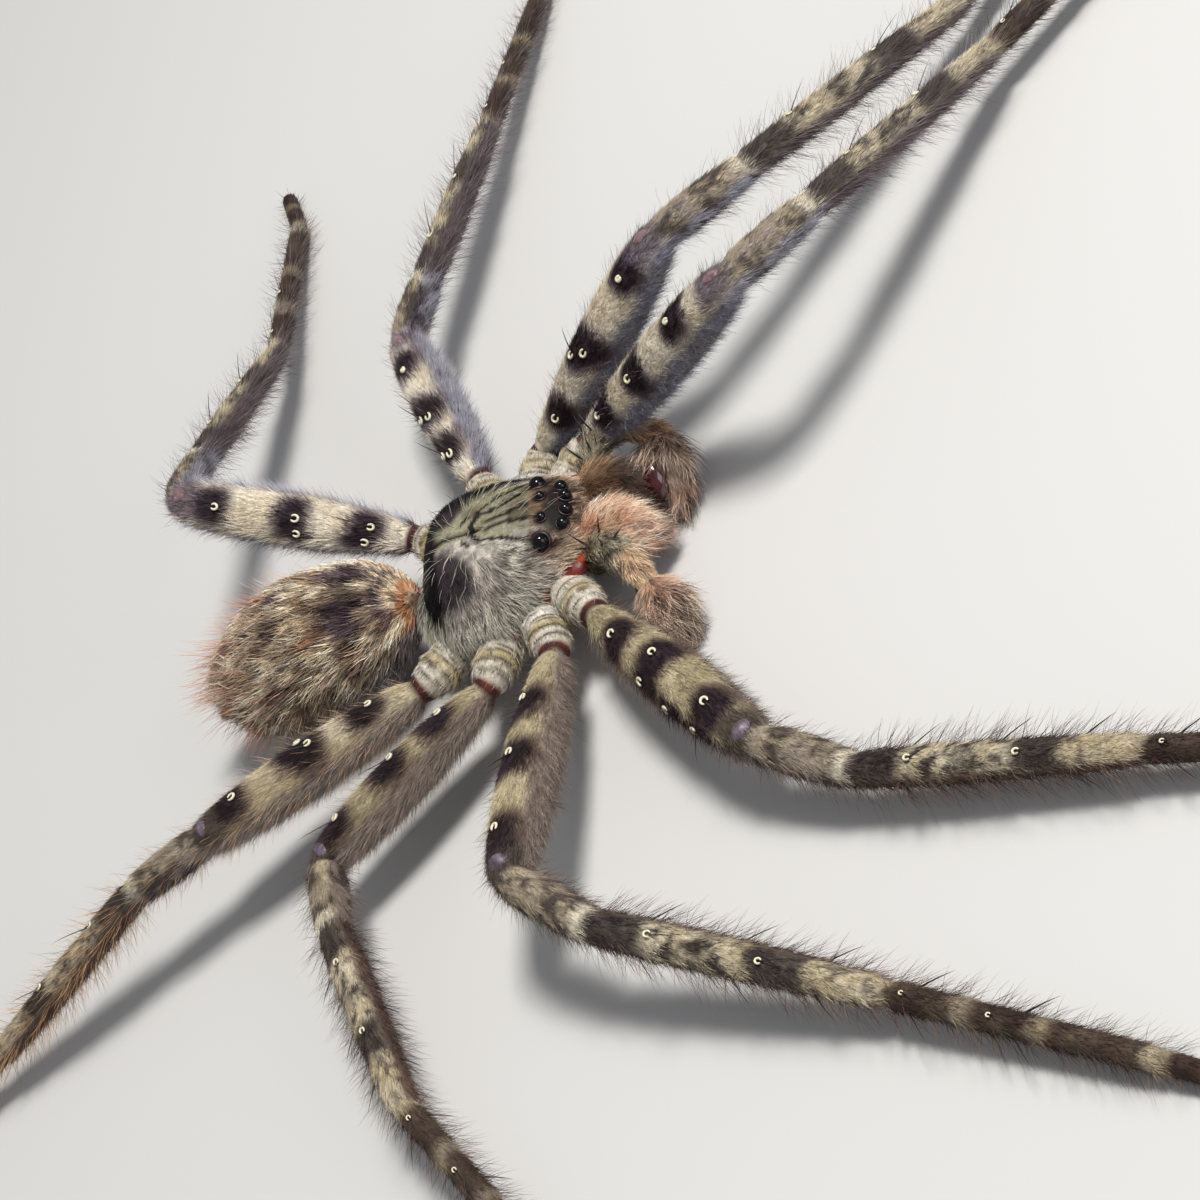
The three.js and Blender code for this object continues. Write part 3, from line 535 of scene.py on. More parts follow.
def face_colour(s, seg, t, th, p):
    n1, n2, n3 = noise(p, 0.7, 31), noise(p, 0.25, 32), noise(p, 0.12, 33)
    up = np.sin(th)
    if s.name.startswith("chelicera"):
        col = mix(rgb(244, 184, 150), rgb(250, 226, 206), 0.85 * n1)
        col = mix(col, BROWN, 0.6 * ss(-0.2, -0.7, up) + 0.3 * ss(0.62, 0.8, n2))
        col = mix(col, mix(GREY, DARK, n1), ss(0.74, 0.95, t) * 0.75)
        # the left chelicera is painted dark brown, darker towards its end: painted shade for the shadow it lies in
        # behind the right chelicera and the palp
        if s.name.endswith("L"):
            col = mix(col, mix(rgb(150, 120, 88), DARK, ss(0.3, 0.65, n1) * 0.75 + 0.7 * ss(0.1, 0.5, t)), 0.92)
        col = col * 1.08
    elif s.name.startswith("palp_arm"):
        col = mix(mix(CREAM, OLIVE, 0.2 + 0.8 * n1), BROWN, ss(0.3, 0.1, t) * 0.6)
        col = mix(col, mix(rgb(232, 202, 158), SALMON, n2), ss(0.58, 0.72, t) * 0.9)
        if s.name.endswith("L"):
            col = mix(col, rgb(176, 130, 88), 0.6 * ss(0.45, 0.6, t))
        col = mix(col, DARK, 0.75 * ss(0.6, 0.75, n2) * ss(-0.2, 0.4, up) + 0.5 * ss(0.1, -0.5, up))
    elif s.name.startswith("palp_tarsus"):
        col = mix(mix(rgb(238, 194, 164), rgb(230, 212, 196), n1), rgb(192, 156, 128), 0.5 * n2)
        col = mix(col, DARK, 0.7 * ss(0.58, 0.72, n2) + 0.3 * ss(0.7, 0.98, t))
        # dark maroon underside of the palp's end: partly its dark hair, partly painted shade beneath it
        col = mix(col, MAROON * 0.5, ss(-0.1, -0.5, up))
    else:
        col = mix(STRAW, DARK, n1)
    return col * (0.8 + 0.4 * n3)[:, None]


def colour(s, seg, t, th, p):
    if s.name.startswith("leg"):
        return leg_colour(s, seg, t, th, p)
    if s.name == "prosoma":
        return prosoma_colour(s, seg, t, th, p)
    if s.name == "abdomen":
        return abdomen_colour(s, seg, t, th, p)
    return face_colour(s, seg, t, th, p)


# ------------------------------------------------------------------ meshes
def new_object(name, verts_mm, faces, cols=None, uv=None, smooth=True):
    """faces: array (n, 3) or (n, 4); cols: linear RGB per vertex; uv: per corner."""
    v = verts_mm.astype(np.float64).copy()
    v[:, 0] -= CX; v[:, 1] -= CY
    v *= 0.001
    me = bpy.data.meshes.new(name)
    n, k = faces.shape
    me.vertices.add(len(v)); me.vertices.foreach_set("co", v.astype(np.float32).ravel())
    me.loops.add(n * k); me.loops.foreach_set("vertex_index", faces.astype(np.int32).ravel())
    me.polygons.add(n); me.polygons.foreach_set("loop_start", (np.arange(n) * k).astype(np.int32))
    me.polygons.foreach_set("use_smooth", np.full(n, smooth))
    if uv is not None:
        layer = me.uv_layers.new(name="OFBake")
        layer.data.foreach_set("uv", uv.astype(np.float32).ravel())
    me.update(calc_edges=True)
    if cols is not None:
        at = me.color_attributes.new(name="Col", type="FLOAT_COLOR", domain="POINT")
        at.data.foreach_set("color", np.concatenate([np.clip(cols, 0, 1), np.ones((len(cols), 1))], 1).astype(np.float32).ravel())
    me.validate()
    o = bpy.data.objects.new(name, me)
    bpy.context.scene.collection.objects.link(o)
    return o


def grid_mesh(s, strip, strips):
    """Vertices, faces, colours and UVs of a surface, closed at both ends."""
    nu, nv = s.P.shape[:2]
    v = s.P.reshape(-1, 3)
    i, j = np.meshgrid(np.arange(nu - 1), np.arange(nv), indexing="ij")
    i, j = i.ravel(), j.ravel()
    a, b, c, d = i * nv + j, i * nv + (j + 1) % nv, (i + 1) * nv + (j + 1) % nv, (i + 1) * nv + j
    tri = np.concatenate([np.stack([a, b, c], 1), np.stack([a, c, d], 1)])
    uvp = lambda ii, jj: np.stack([0.01 + 0.98 * ii / (nu - 1), (strip + 0.04 + 0.92 * jj / nv) / strips], 1)
    uv = np.concatenate([np.stack([uvp(i, j), uvp(i, j + 1), uvp(i + 1, j + 1)], 1), np.stack([uvp(i, j), uvp(i + 1, j + 1), uvp(i + 1, j)], 1)])
    ends = np.stack([s.P[0].mean(0), s.P[-1].mean(0)])
    k = np.arange(nv)
    cap0 = np.stack([np.full(nv, nu * nv), (k + 1) % nv, k], 1)
    cap1 = np.stack([np.full(nv, nu * nv + 1), (nu - 1) * nv + k, (nu - 1) * nv + (k + 1) % nv], 1)
    uv0 = np.stack([uvp(np.zeros(nv), k + 0.5) - [0.005, 0], uvp(np.zeros(nv), k + 1.0), uvp(np.zeros(nv), k * 1.0)], 1)
    uv1 = np.stack([uvp(np.full(nv, nu - 1.0), k + 0.5) + [0.005, 0], uvp(np.full(nv, nu - 1.0), k * 1.0), uvp(np.full(nv, nu - 1.0), k + 1.0)], 1)
    v = np.concatenate([v, ends]); tri = np.concatenate([tri, cap0, cap1]); uv = np.concatenate([uv, uv0, uv1])
    # outward faces
    p0, p1, p2 = v[tri[:, 0]], v[tri[:, 1]], v[tri[:, 2]]
    if (np.cross(p1 - p0, p2 - p0) * (p0 - v.mean(0))).sum() < 0 if not s.name.startswith("leg") else (np.cross(p1 - p0, p2 - p0)[: len(a)] * s.N[i, j]).sum() < 0:
        tri = tri[:, ::-1]; uv = uv[:, ::-1]
    ii, jj = np.divmod(np.arange(nu * nv), nv)
    seg, t, th = s.seg[ii], s.t[ii], s.theta[jj]
    cols = colour(s, seg, t, th, s.P.reshape(-1, 3))
    cols = np.concatenate([cols, cols[:1], cols[-1:]])
    return v, tri, cols, uv


def join(parts):
    vs, fs, cs, us, n = [], [], [], [], 0
    for v, f, c, u in parts:
        vs.append(v); fs.append(f + n); cs.append(c); us.append(u); n += len(v)
    return np.concatenate(vs), np.concatenate(fs), np.concatenate(cs), np.concatenate(us)


# ------------------------------------------------------------------ materials
def material(name, base=None, rough=0.7, spec=0.3, attr=True, mottle=0.35, grain=0.00012, bump_size=None, bump_depth=0.0, coat=0.0, sheen=0.0, gain=1.0):
    m = bpy.data.materials.new(name)
    m.use_nodes = True
    nt = m.node_tree
    b = nt.nodes["Principled BSDF"]
    b.inputs["Roughness"].default_value = rough
    b.inputs["Specular IOR Level"].default_value = spec
    b.inputs["Coat Weight"].default_value = coat
    b.inputs["Coat Roughness"].default_value = 0.05
    b.inputs["Sheen Weight"].default_value = sheen
    co = nt.nodes.new("ShaderNodeTexCoord")
    nz = nt.nodes.new("ShaderNodeTexNoise")
    nz.inputs["Scale"].default_value = 1 / grain
    nz.inputs["Detail"].default_value = 3
    nt.links.new(co.outputs["Object"], nz.inputs["Vector"])
    ramp = nt.nodes.new("ShaderNodeMapRange")
    ramp.inputs["From Min"].default_value = 0.3; ramp.inputs["From Max"].default_value = 0.7
    ramp.inputs["To Min"].default_value = (1 - mottle) * gain; ramp.inputs["To Max"].default_value = (1 + mottle) * gain
    nt.links.new(nz.outputs["Fac"], ramp.inputs["Value"])
    mul = nt.nodes.new("ShaderNodeVectorMath"); mul.operation = "SCALE"
    if attr:
        at = nt.nodes.new("ShaderNodeAttribute"); at.attribute_name = "Col"
        nt.links.new(at.outputs["Color"], mul.inputs[0])
    else:
        mul.inputs[0].default_value = tuple(base)
    nt.links.new(ramp.outputs["Result"], mul.inputs["Scale"])
    nt.links.new(mul.outputs["Vector"], b.inputs["Base Color"])
    if bump_size:
        n2 = nt.nodes.new("ShaderNodeTexNoise")
        n2.inputs["Scale"].default_value = 1 / bump_size; n2.inputs["Detail"].default_value = 4
        nt.links.new(co.outputs["Object"], n2.inputs["Vector"])
        bp = nt.nodes.new("ShaderNodeBump")
        bp.inputs["Strength"].default_value = 0.6
        bp.inputs["Distance"].default_value = bump_depth
        nt.links.new(n2.outputs["Fac"], bp.inputs["Height"])
        nt.links.new(bp.outputs["Normal"], b.inputs["Normal"])
    return m


M_SKIN = material("skin_mat", rough=0.65, spec=0.2, mottle=0.25, bump_size=0.00009, bump_depth=0.00003, gain=0.75)
M_FUR = material("fur_mat", rough=0.62, spec=0.22, mottle=0.22, grain=0.0003, gain=1.0)
M_EYE = material("eye_mat", base=(0.003, 0.003, 0.004), rough=0.07, spec=0.35, attr=False, mottle=0.3, grain=0.0004)
M_FANG = material("fang_mat", base=(0.03, 0.011, 0.007), rough=0.18, spec=0.6, attr=False, mottle=0.4, grain=0.0003, coat=0.5)
M_BULB = material("bulb_mat", base=tuple(rgb(58, 20, 22)), rough=0.16, spec=0.6, attr=False, mottle=0.5, grain=0.0004, coat=0.4)
M_SPINE = material("spine_mat", base=(0.02, 0.014, 0.012), rough=0.35, spec=0.5, attr=False, mottle=0.3, grain=0.0002)
# socket lips: the raised lips are real, their pale cream colour is a painted highlight standing in for the white glints
# on them
M_RING = material("socket_mat", base=tuple(rgb(226, 218, 190)), rough=0.4, spec=0.5, attr=False, mottle=0.2, grain=0.0001)

# ------------------------------------------------------------------ the skin
names = list(S)
parts = [grid_mesh(S[n], k, len(names)) for k, n in enumerate(names)]
v, f, c, u = join(parts)
skin = new_object("skin", v, f, c, u)
skin.data.materials.append(M_SKIN)
flesh = [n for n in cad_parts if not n.startswith(("eye_", "fang_"))]
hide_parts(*flesh)
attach(skin, "root")

# ------------------------------------------------------------------ fur
TUFT = 0.003


def strands(s, n, strip, strips, length, radius, tilt, jitter, weight=None, lie=None, bend=0.6, tint=None, tip=1.15, keep=None, cols=None, wave=0.12, short=False, spread=0.28, salt=0.0):
    """Hairs of a surface: arrays of vertices, faces, colours and OFBake UVs."""
    ri, rj = s.sample(n, weight)
    seg, t, th = s.info(ri, rj)
    p = s.at(ri, rj, s.P); nrm = unit(s.at(ri, rj, s.N)); d = unit(s.at(ri, rj, s.D))
    ok = np.ones(len(p), bool)
    if keep is not None:
        ok = keep(p, seg, t, th)
    ri, rj, seg, t, th, p, nrm, d = [a[ok] for a in (ri, rj, seg, t, th, p, nrm, d)]
    n = len(p)
    if lie is not None:
        d = lie(p, nrm, d, t, th)
    d = unit(d - nrm * (d * nrm).sum(1)[:, None])
    side = np.cross(nrm, d)
    # neighbouring hairs lean together, as in tufts
    swirl = (noise(p, 0.55, 41) - 0.5) * 1.3 * jitter + rng.normal(0, 0.45, n) * jitter
    d = unit(d * np.cos(swirl)[:, None] + side * np.sin(swirl)[:, None])
    side = np.cross(nrm, d)
    L = (length(seg, t, th) if callable(length) else np.full(n, length)) * rng.uniform(0.7, 1.3, n)
    R = (radius(seg, t, th) if callable(radius) else np.full(n, radius)) * rng.uniform(0.75, 1.25, n)
    a0 = (tilt(seg, t, th) if callable(tilt) else np.full(n, tilt)) * rng.uniform(0.6, 1.4, n) + 0.12 * (noise(p, 0.4, 43) - 0.5)
    a1 = a0 * (1 - bend)
    w = rng.normal(0, wave, n)
    e0 = d * np.cos(a0)[:, None] + nrm * np.sin(a0)[:, None]
    d1 = unit(d + side * w[:, None])
    e1 = d1 * np.cos(a1)[:, None] + nrm * np.sin(a1)[:, None]
    root = p - nrm * 0.03
    mid = root + e0 * (0.5 * L)[:, None]
    end = mid + e1 * (0.5 * L)[:, None]
    end[:, 2] = np.maximum(end[:, 2], 0.02); mid[:, 2] = np.maximum(mid[:, 2], 0.03)
    m = 4 if short else 7
    verts = np.empty((n, m, 3))
    for k in range(3):
        ang = 2 * np.pi * k / 3 + np.pi / 2
        off = side * math.cos(ang) + nrm * math.sin(ang)
        verts[:, k] = root + off * R[:, None]
        if not short:
            verts[:, 3 + k] = mid + off * (0.8 * R)[:, None]
    verts[:, m - 1] = end
    base = np.arange(n)[:, None] * m
    f = []
    for k in range(3):
        k1 = (k + 1) % 3
        if short:
            f += [base + [k, k1, 3]]
        else:
            f += [base + [k, k1, 3 + k1], base + [k, 3 + k1, 3 + k], base + [3 + k, 3 + k1, 6]]
    faces = np.stack(f, 1).reshape(-1, 3)
    col = colour(s, seg, t, th, p) if cols is None else cols(p, seg, t, th)
    col = col * rng.uniform(1 - spread, 1 + spread, n)[:, None]
    if tint is not None:
        col = tint(col, p, seg, t, th)
    if salt:
        col = np.where((rng.random(n) < salt)[:, None], col * 0.16, col)
    cc = np.empty((n, m, 3))
    cc[:, :3] = (col * 0.7)[:, None]; cc[:, 3:m - 1] = col[:, None]; cc[:, m - 1] = col * tip
    nu, nv = s.P.shape[:2]
    ruv = np.stack([0.01 + 0.98 * ri / (nu - 1), (strip + 0.04 + 0.92 * (rj % nv) / nv) / strips], 1)
    offs = TUFT * 0.5 * np.array([[math.cos(x), math.sin(x)] for x in (0, 2.09, 4.19, 1.05, 3.14, 5.24)[: m - 1]] + [[0, 0]])
    vuv = ruv[:, None] + offs[None]
    uv = vuv.reshape(-1, 2)[faces]
    return verts.reshape(-1, 3), faces, cc.reshape(-1, 3), uv


def away_from_sockets(s, radius=0.21):
    pts = []
    for seg, t, a, size_ in socket_list(s.name):
        ri = np.array([find(s, seg, t)]); rj = np.array([(a % 360) / 360 * s.P.shape[1]])
        pts.append((s.at(ri, rj, s.P)[0], radius * size_))
    def keep(p, seg, t, th):
        ok = np.ones(len(p), bool)
        for q, r in pts:
            ok &= np.linalg.norm(p - q, axis=1) > r
        bare = ((seg == 0) & (t > 0.9)) | ((seg == 1) & (t < 0.03)) | ((seg == 0) & (t < 0.2))
        return ok & ~(bare & (rng.random(len(p)) < 0.85))
    return keep


def by_seg(values):
    table = np.array(values, float)
    return lambda seg, t, th: table[np.clip(seg, 0, 5)]


coats = []


def coat(name, slot_name, pieces):
    v, f, c, u = join(pieces)
    o = new_object(name, v, f, c, u, smooth=False)
    o.data.materials.append(M_FUR)
    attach(o, "root")
    coats.append(o)
    return o


FULL = 197000           # triangles of one coat piece


def velvet(low, high):
    """How steeply hairs stand: more on the sides and below."""
    def tilt(seg, t, th):
        return low + (high - low) * ss(0.7, -0.3, np.sin(th))
    return tilt


LEN_LEG = by_seg((0.42, 0.60, 0.50, 0.58, 0.52, 0.36))
RAD_LEG = by_seg((0.0145, 0.0150, 0.0150, 0.0155, 0.0150, 0.0140))
for i in (1, 2, 3, 4):
    pieces = []
    for k, label in enumerate("LR"):
        s = S[f"leg_{label}{i}"]
        weight = np.array([0.75, 1.15, 1.0, 0.95, 0.85, 0.75])[s.seg][:, None] * (0.75 + 0.35 * (np.sin(s.theta) > -0.3))[None, :]
        keep = away_from_sockets(s)
        pieces.append(strands(s, int(FULL / 2 * 0.60 / 3), k, 2, LEN_LEG, RAD_LEG, velvet(0.32, 0.62), 0.5, weight, keep=keep, short=True))
        flank = np.array([0.0, 1.6, 0.7, 0.4, 0.2, 0.1])[s.seg][:, None] * ss(0.75, -0.1, np.sin(s.theta + math.radians(90 - BACK_ANGLE[s.name])))[None, :] + 0.001
        pieces.append(strands(s, int(FULL / 2 * 0.17 / 3), k, 2, by_seg((0.4, 0.95, 0.85, 0.8, 0.7, 0.4)), 0.0095, 0.85, 0.5, flank, keep=keep, short=True, tip=1.35, spread=0.35))
        # finer hairs standing out, longest on the sides of tibia and metatarsus
        fringe = rgb(214, 168, 120) if (label, i) == ("R", 4) else (rgb(122, 92, 78) if label == "R" else rgb(122, 110, 116))
        def tint(col, p, seg, t, th, fc=fringe):
            return mix(col, fc * np.random.default_rng(3).uniform(0.6, 1.3, len(p))[:, None], np.full(len(p), 0.7))
        w2 = np.array([0.1, 0.5, 0.8, 1.5, 1.4, 0.5])[s.seg][:, None] * (0.2 + np.abs(np.cos(s.theta)) ** 2 + 0.5 * (np.sin(s.theta) < 0))[None, :]
        pieces.append(strands(s, int(FULL / 2 * 0.23 / 9), k, 2, by_seg((0.5, 1.0, 1.1, 1.45, 1.3, 0.8)), 0.0105, 0.95, 0.5, w2, bend=0.2, tint=tint, keep=keep, tip=1.3, salt=0.25))
    coat(f"coat_legs_{i}", "leg_coat", pieces)

# carapace: hairs run from the fovea out to the edge, and forward on the head
sp = S["prosoma"]


def from_fovea(p, nrm, d, t, th):
    out = p - np.array([0, 0.1, 9.5])
    fwd = np.array([0, -1.0, 0.0]) * np.ones_like(p)
    front = ss(0.2, -2.4, p[:, 1])[:, None]
    return unit(out) * (1 - 0.7 * front) + fwd * 0.9 * front


def prosoma_keep(p, seg, t, th):
    ok = np.ones(len(p), bool)
    q = p.copy(); q[:, 0] = np.abs(q[:, 0])
    for e in EYES.values():
        ok &= np.linalg.norm(q - np.array(e[:3]) - np.array([0, 0.1, 0]), axis=1) > e[3] * 1.22
    slope = (p[:, 1] > 2.5) & (p[:, 2] > 5.0)
    gap = np.exp(-((p[:, 1] + 1.5) / 0.5) ** 2) + np.exp(-((p[:, 1] - 0.3) / 0.45) ** 2)
    red = (p[:, 2] < 3.95 + 0.25 * gap) & (p[:, 2] > MARGIN - 0.2)
    return ok & ~(slope & (rng.random(len(p)) < 0.8)) & ~(red & (rng.random(len(p)) < 0.7))


ones = np.ones(sp.P.shape[:2])
z = sp.P[..., 2]; y = sp.P[..., 1]
w_top = np.where(z > MARGIN, 1.6, 0.25) * ones
low = np.where((z > MARGIN + 0.35) & (z < np.where(sp.P[..., 0] > 0, 4.5, 5.3)), 1.0, 0.01) * ss(-2.5, 0.5, y) + 0.01
cheek = ss(-1.8, -2.8, y) * (z > 3.9) * (z < 5.1) + 0.001


def short_on_head(seg, t, th):
    return 0.19 + (0.14 + 0.2 * ss(0.2, 0.6, t)) * ss(0.2, 0.55, np.abs(np.cos(th)))


flank = np.where(z > MARGIN + 0.4, 1.0, 0.02) * ss(0.25, 0.6, np.abs(np.cos(sp.theta)))[None, :] * ss(-3.3, -2.2, y)
pieces = [strands(sp, int(FULL * 0.50 / 3), 0, 1, short_on_head, 0.0125, 0.26, 0.4, w_top, lie=from_fovea, keep=prosoma_keep, short=True, spread=0.42),
          strands(sp, int(FULL * 0.22 / 9), 0, 1, 0.62, 0.0155, 0.26, 0.4, flank, lie=from_fovea, keep=prosoma_keep, tip=1.3, spread=0.5, salt=0.2),
          strands(sp, int(FULL * 0.20 / 9), 0, 1, 1.15, 0.0160, 0.36, 0.7, low, lie=from_fovea, keep=prosoma_keep, tip=1.3, spread=0.45, salt=0.14,
                  tint=lambda col, p, seg, t, th: mix(col, mix(WHITE, SAGE, noise(p, 0.4, 51)), np.full(len(p), 0.5))),
          strands(sp, int(FULL * 0.08 / 9), 0, 1, 0.8, 0.0140, 0.55, 0.5, cheek, lie=from_fovea, keep=prosoma_keep, tip=1.3)]
coat("coat_carapace", "carapace_coat", pieces)

# abdomen: long streaky hairs towards the spinnerets, and thin rusty ones standing out behind
sa = S["abdomen"]
w_ab = (0.55 + 0.7 * (np.sin(sa.theta) > -0.4))[None, :] * np.ones(sa.P.shape[:2])
rear = ss(0.3, 0.85, sa.t)[:, None] * (0.3 + 0.7 * (np.sin(sa.theta) > -0.5))[None, :] + 0.003


def abdomen_lie(p, nrm, d, t, th):
    down = np.array([0, 0, -1.0]) * ss(0.7, 0.0, np.sin(th))[:, None] * 0.55
    return d + down


def rusty(col, p, seg, t, th):
    return mix(col, mix(rgb(196, 116, 76), rgb(210, 182, 166), ss(0.35, 0.65, noise(p, 0.9, 61))), np.full(len(p), 0.85))


def long_behind(seg, t, th):
    return (0.45 + 0.75 * ss(0.02, 0.2, t) + 0.25 * ss(0.5, 0.9, t)) * (1 + 0.25 * ss(0.1, -0.4, np.sin(th)))


pieces = [strands(sa, int(FULL * 0.22 / 3), 0, 1, 0.6, 0.016, 0.35, 0.5, w_ab, lie=abdomen_lie, short=True),
          strands(sa, int(FULL * 0.75 / 9), 0, 1, long_behind, 0.022, lambda seg, t, th: 0.27 + 0.2 * ss(0.4, 1, t), 0.5, w_ab, lie=abdomen_lie, tip=1.3, spread=0.45, salt=0.12),
          strands(sa, int(FULL * 0.03 / 9), 0, 1, lambda seg, t, th: 1.25 + 1.4 * ss(0.4, 0.95, t), 0.0140, 0.8, 0.35, rear, lie=abdomen_lie, bend=0.05, tint=rusty, tip=1.2)]
coat("coat_abdomen", "abdomen_coat", pieces)

# face: chelicerae, palps, spinnerets
face = [n for n in S if n.startswith(("chelicera", "palp", "spinneret"))]
BULB = {}
for label, side in (("L", 1), ("R", -1)):
    s = S[f"palp_tarsus_{label}"]
    k = int(len(s.P) * 0.42)
    d = s.D[k].mean(0); d /= np.linalg.norm(d)
    u = UP - d * (UP @ d); u /= np.linalg.norm(u)
    BULB[label] = (s.P[k].mean(0) + np.array([-0.92 * side, 0.44, 0.34]), (d, np.cross(d, u), u))


def clear_of_bulbs(p, seg, t, th):
    ok = np.ones(len(p), bool)
    for c, _ in BULB.values():
        ok &= np.linalg.norm(p - c, axis=1) > 1.25
    return ok


share = {"chelicera": 0.19, "palp_arm": 0.14, "palp_tarsus": 0.14, "spinneret": 0.03}
pieces = []
for k, nme in enumerate(face):
    s = S[nme]
    kind = nme.rsplit("_", 1)[0]
    long_ = {"chelicera": 1.25, "palp_arm": 0.7, "palp_tarsus": 1.5, "spinneret": 0.4}[kind]
    tl = {"chelicera": 0.6, "palp_arm": 0.55, "palp_tarsus": 0.72, "spinneret": 0.3}[kind]
    w = None
    if kind == "palp_tarsus":
        w = np.where(np.sin(s.theta) > -0.35, 1.0, 0.04)[None, :] * np.ones(s.P.shape[:2])
    if kind == "chelicera":
        w = (0.4 + (np.sin(s.theta) > -0.5))[None, :] * np.ones(s.P.shape[:2])
    pieces.append(strands(s, int(FULL * share[kind] * 0.4 / 3), k, len(face), long_ * 0.6, 0.014, tl, 0.5, w, tip=1.2, short=True))
    pieces.append(strands(s, int(FULL * share[kind] * 0.6 / 9), k, len(face), long_, 0.0150, tl, 0.85, w, tip=1.3, spread=0.5, wave=0.25, keep=clear_of_bulbs, salt={"palp_tarsus": 0.38, "palp_arm": 0.24}.get(kind, 0.08)))
coat("coat_face", "chelicera_coat", pieces)

# ------------------------------------------------------------------ bare skin: knees, hips, the edge of the carapace
def blob(centre, axes, radii, nu=12, nv=20):
    v, f = sphere(np.zeros(3), 1.0, nu, nv)
    return np.array(centre) + (v * np.array(radii)) @ np.array(axes), f


def bare_pieces():
    out = []
    eye3 = np.eye(3)
    for nme, s in S.items():
        if not nme.startswith("leg"):
            continue
        right = nme[4] == "R"
        ri = np.array([find(s, 1, 0.975)]); rj = np.array([0.25 * s.P.shape[1]])
        p = s.at(ri, rj, s.P)[0]; nrm = unit(s.at(ri, rj, s.N))[0]; d = unit(s.at(ri, rj, s.D))[0]
        side = np.cross(nrm, d)
        if right:
            out.append((blob(p - nrm * 0.27, (d, side, nrm), (0.46, 0.56, 0.40)), rgb(118, 102, 116)))
        else:
            out.append((blob(p - nrm * 0.1, (d, side, nrm), (0.46, 0.34, 0.2)), rgb(150, 118, 122)))
    for side in (-1, 1):
        out.append((blob((side * 2.32, -4.12, 3.74), eye3, (0.36, 0.44, 0.2)), rgb(196, 74, 36)))
        for x, y, z, r, col in ((2.45, -3.35, 3.55, 0.8, rgb(104, 30, 24)), (2.95, -2.6, 3.3, 0.6, rgb(112, 36, 28)),
                                (3.5, -1.5, 3.3, 0.5, rgb(150, 70, 46)), (3.9, 0.3, 3.3, 0.5, rgb(150, 76, 54)), (3.5, 2.0, 3.35, 0.5, rgb(150, 72, 50))):
            out.append((blob((side * x, y, z), eye3, (r, r * 1.25, r * 0.6)), col))
    return out


# ------------------------------------------------------------------ spines and their sockets
def cone_strand(p, d, L, r, bendv, sides=6, steps=4):
    """A thin curved horn from p along d."""
    d = d / np.linalg.norm(d)
    a = np.cross(d, [0.3, 0.5, 0.8]); a /= np.linalg.norm(a); b = np.cross(d, a)
    v, fs = [], []
    for k in range(steps):
        u = k / steps
        c = p + d * L * u + bendv * (u * u) * L
        rr = r * (1 - u) ** 0.7
        for j in range(sides):
            x = 2 * math.pi * j / sides
            v.append(c + (a * math.cos(x) + b * math.sin(x)) * rr)
    v.append(p + d * L + bendv * L)
    for k in range(steps - 1):
        for j in range(sides):
            j1 = (j + 1) % sides
            fs += [(k * sides + j, k * sides + j1, (k + 1) * sides + j1), (k * sides + j, (k + 1) * sides + j1, (k + 1) * sides + j)]
    for j in range(sides):
        fs.append(((steps - 1) * sides + j, (steps - 1) * sides + (j + 1) % sides, len(v) - 1))
        if 0 < j < sides - 1:
            fs.append((0, j + 1, j))
    return np.array(v), np.array(fs)


def c_ring(p, nrm, along, r, thick, steps=16, sides=6, gap=0.5, stretch=1.25):
    """A C-shaped lip, open towards along."""
    side = np.cross(nrm, along)
    v, fs = [], []
    angs = np.linspace(gap, 2 * math.pi - gap, steps)
    for k, x in enumerate(angs):
        out = along * math.cos(x) + side * math.sin(x)
        c = p + (along * math.cos(x) * stretch + side * math.sin(x)) * r
        taper = 0.45 + 0.55 * math.sin(math.pi * k / (steps - 1)) ** 0.5
        for j in range(sides):
            y = 2 * math.pi * j / sides
            v.append(c + (out * math.cos(y) + nrm * math.sin(y)) * thick * taper)
    for k in range(steps - 1):
        for j in range(sides):
            j1 = (j + 1) % sides
            fs += [(k * sides + j, k * sides + j1, (k + 1) * sides + j1), (k * sides + j, (k + 1) * sides + j1, (k + 1) * sides + j)]
    return np.array(v), np.array(fs)


spine_v, spine_f, ring_v, ring_f, ns, nr = [], [], [], [], 0, 0
for nme, s in S.items():
    if not nme.startswith("leg"):
        continue
    for seg, t, a, size_ in socket_list(nme):
        ri = np.array([find(s, seg, t)]); rj = np.array([(a % 360) / 360 * s.P.shape[1]])
        p = s.at(ri, rj, s.P)[0]; nrm = unit(s.at(ri, rj, s.N))[0]; d = unit(s.at(ri, rj, s.D))[0]
        d = d - nrm * (d @ nrm); d /= np.linalg.norm(d)
        if nme[4] == "L" and seg == 1 and t > 0.7 and nme != "leg_L4":
            v, f = c_ring(p + nrm * 0.10, nrm, d, 0.09, 0.10, gap=0.1)
        else:
            v, f = c_ring(p + nrm * 0.12, nrm, d, 0.15 * size_ * rng.uniform(0.9, 1.1), 0.070 * size_, gap=rng.uniform(0.45, 0.7))
        ring_v.append(v); ring_f.append(f + nr); nr += len(v)
        k = rng.uniform(0.8, 1.15)
        if seg != 1 or rng.random() < 0.55:
            v, f = cone_strand(p - nrm * 0.02, d * 0.82 + nrm * 0.55 + rng.normal(0, 0.06, 3), 2.3 * k * (0.7 if seg == 4 else 1), 0.036 * (0.5 + 0.5 * size_), -nrm * 0.12)
            spine_v.append(v); spine_f.append(f + ns); ns += len(v)
    # side spines of tibia and metatarsus
    for seg, ts in ((3, (0.2, 0.52, 0.8)), (4, (0.12, 0.5))):
        for t in ts:
            for a in (8, 172):
                ri = np.array([find(s, seg, t)]); rj = np.array([a / 360 * s.P.shape[1]])
                p = s.at(ri, rj, s.P)[0]; nrm = unit(s.at(ri, rj, s.N))[0]; d = unit(s.at(ri, rj, s.D))[0]
                v, f = cone_strand(p - nrm * 0.02, d * 0.75 + nrm * 0.62, 1.9, 0.038, -nrm * 0.1)
                spine_v.append(v); spine_f.append(f + ns); ns += len(v)
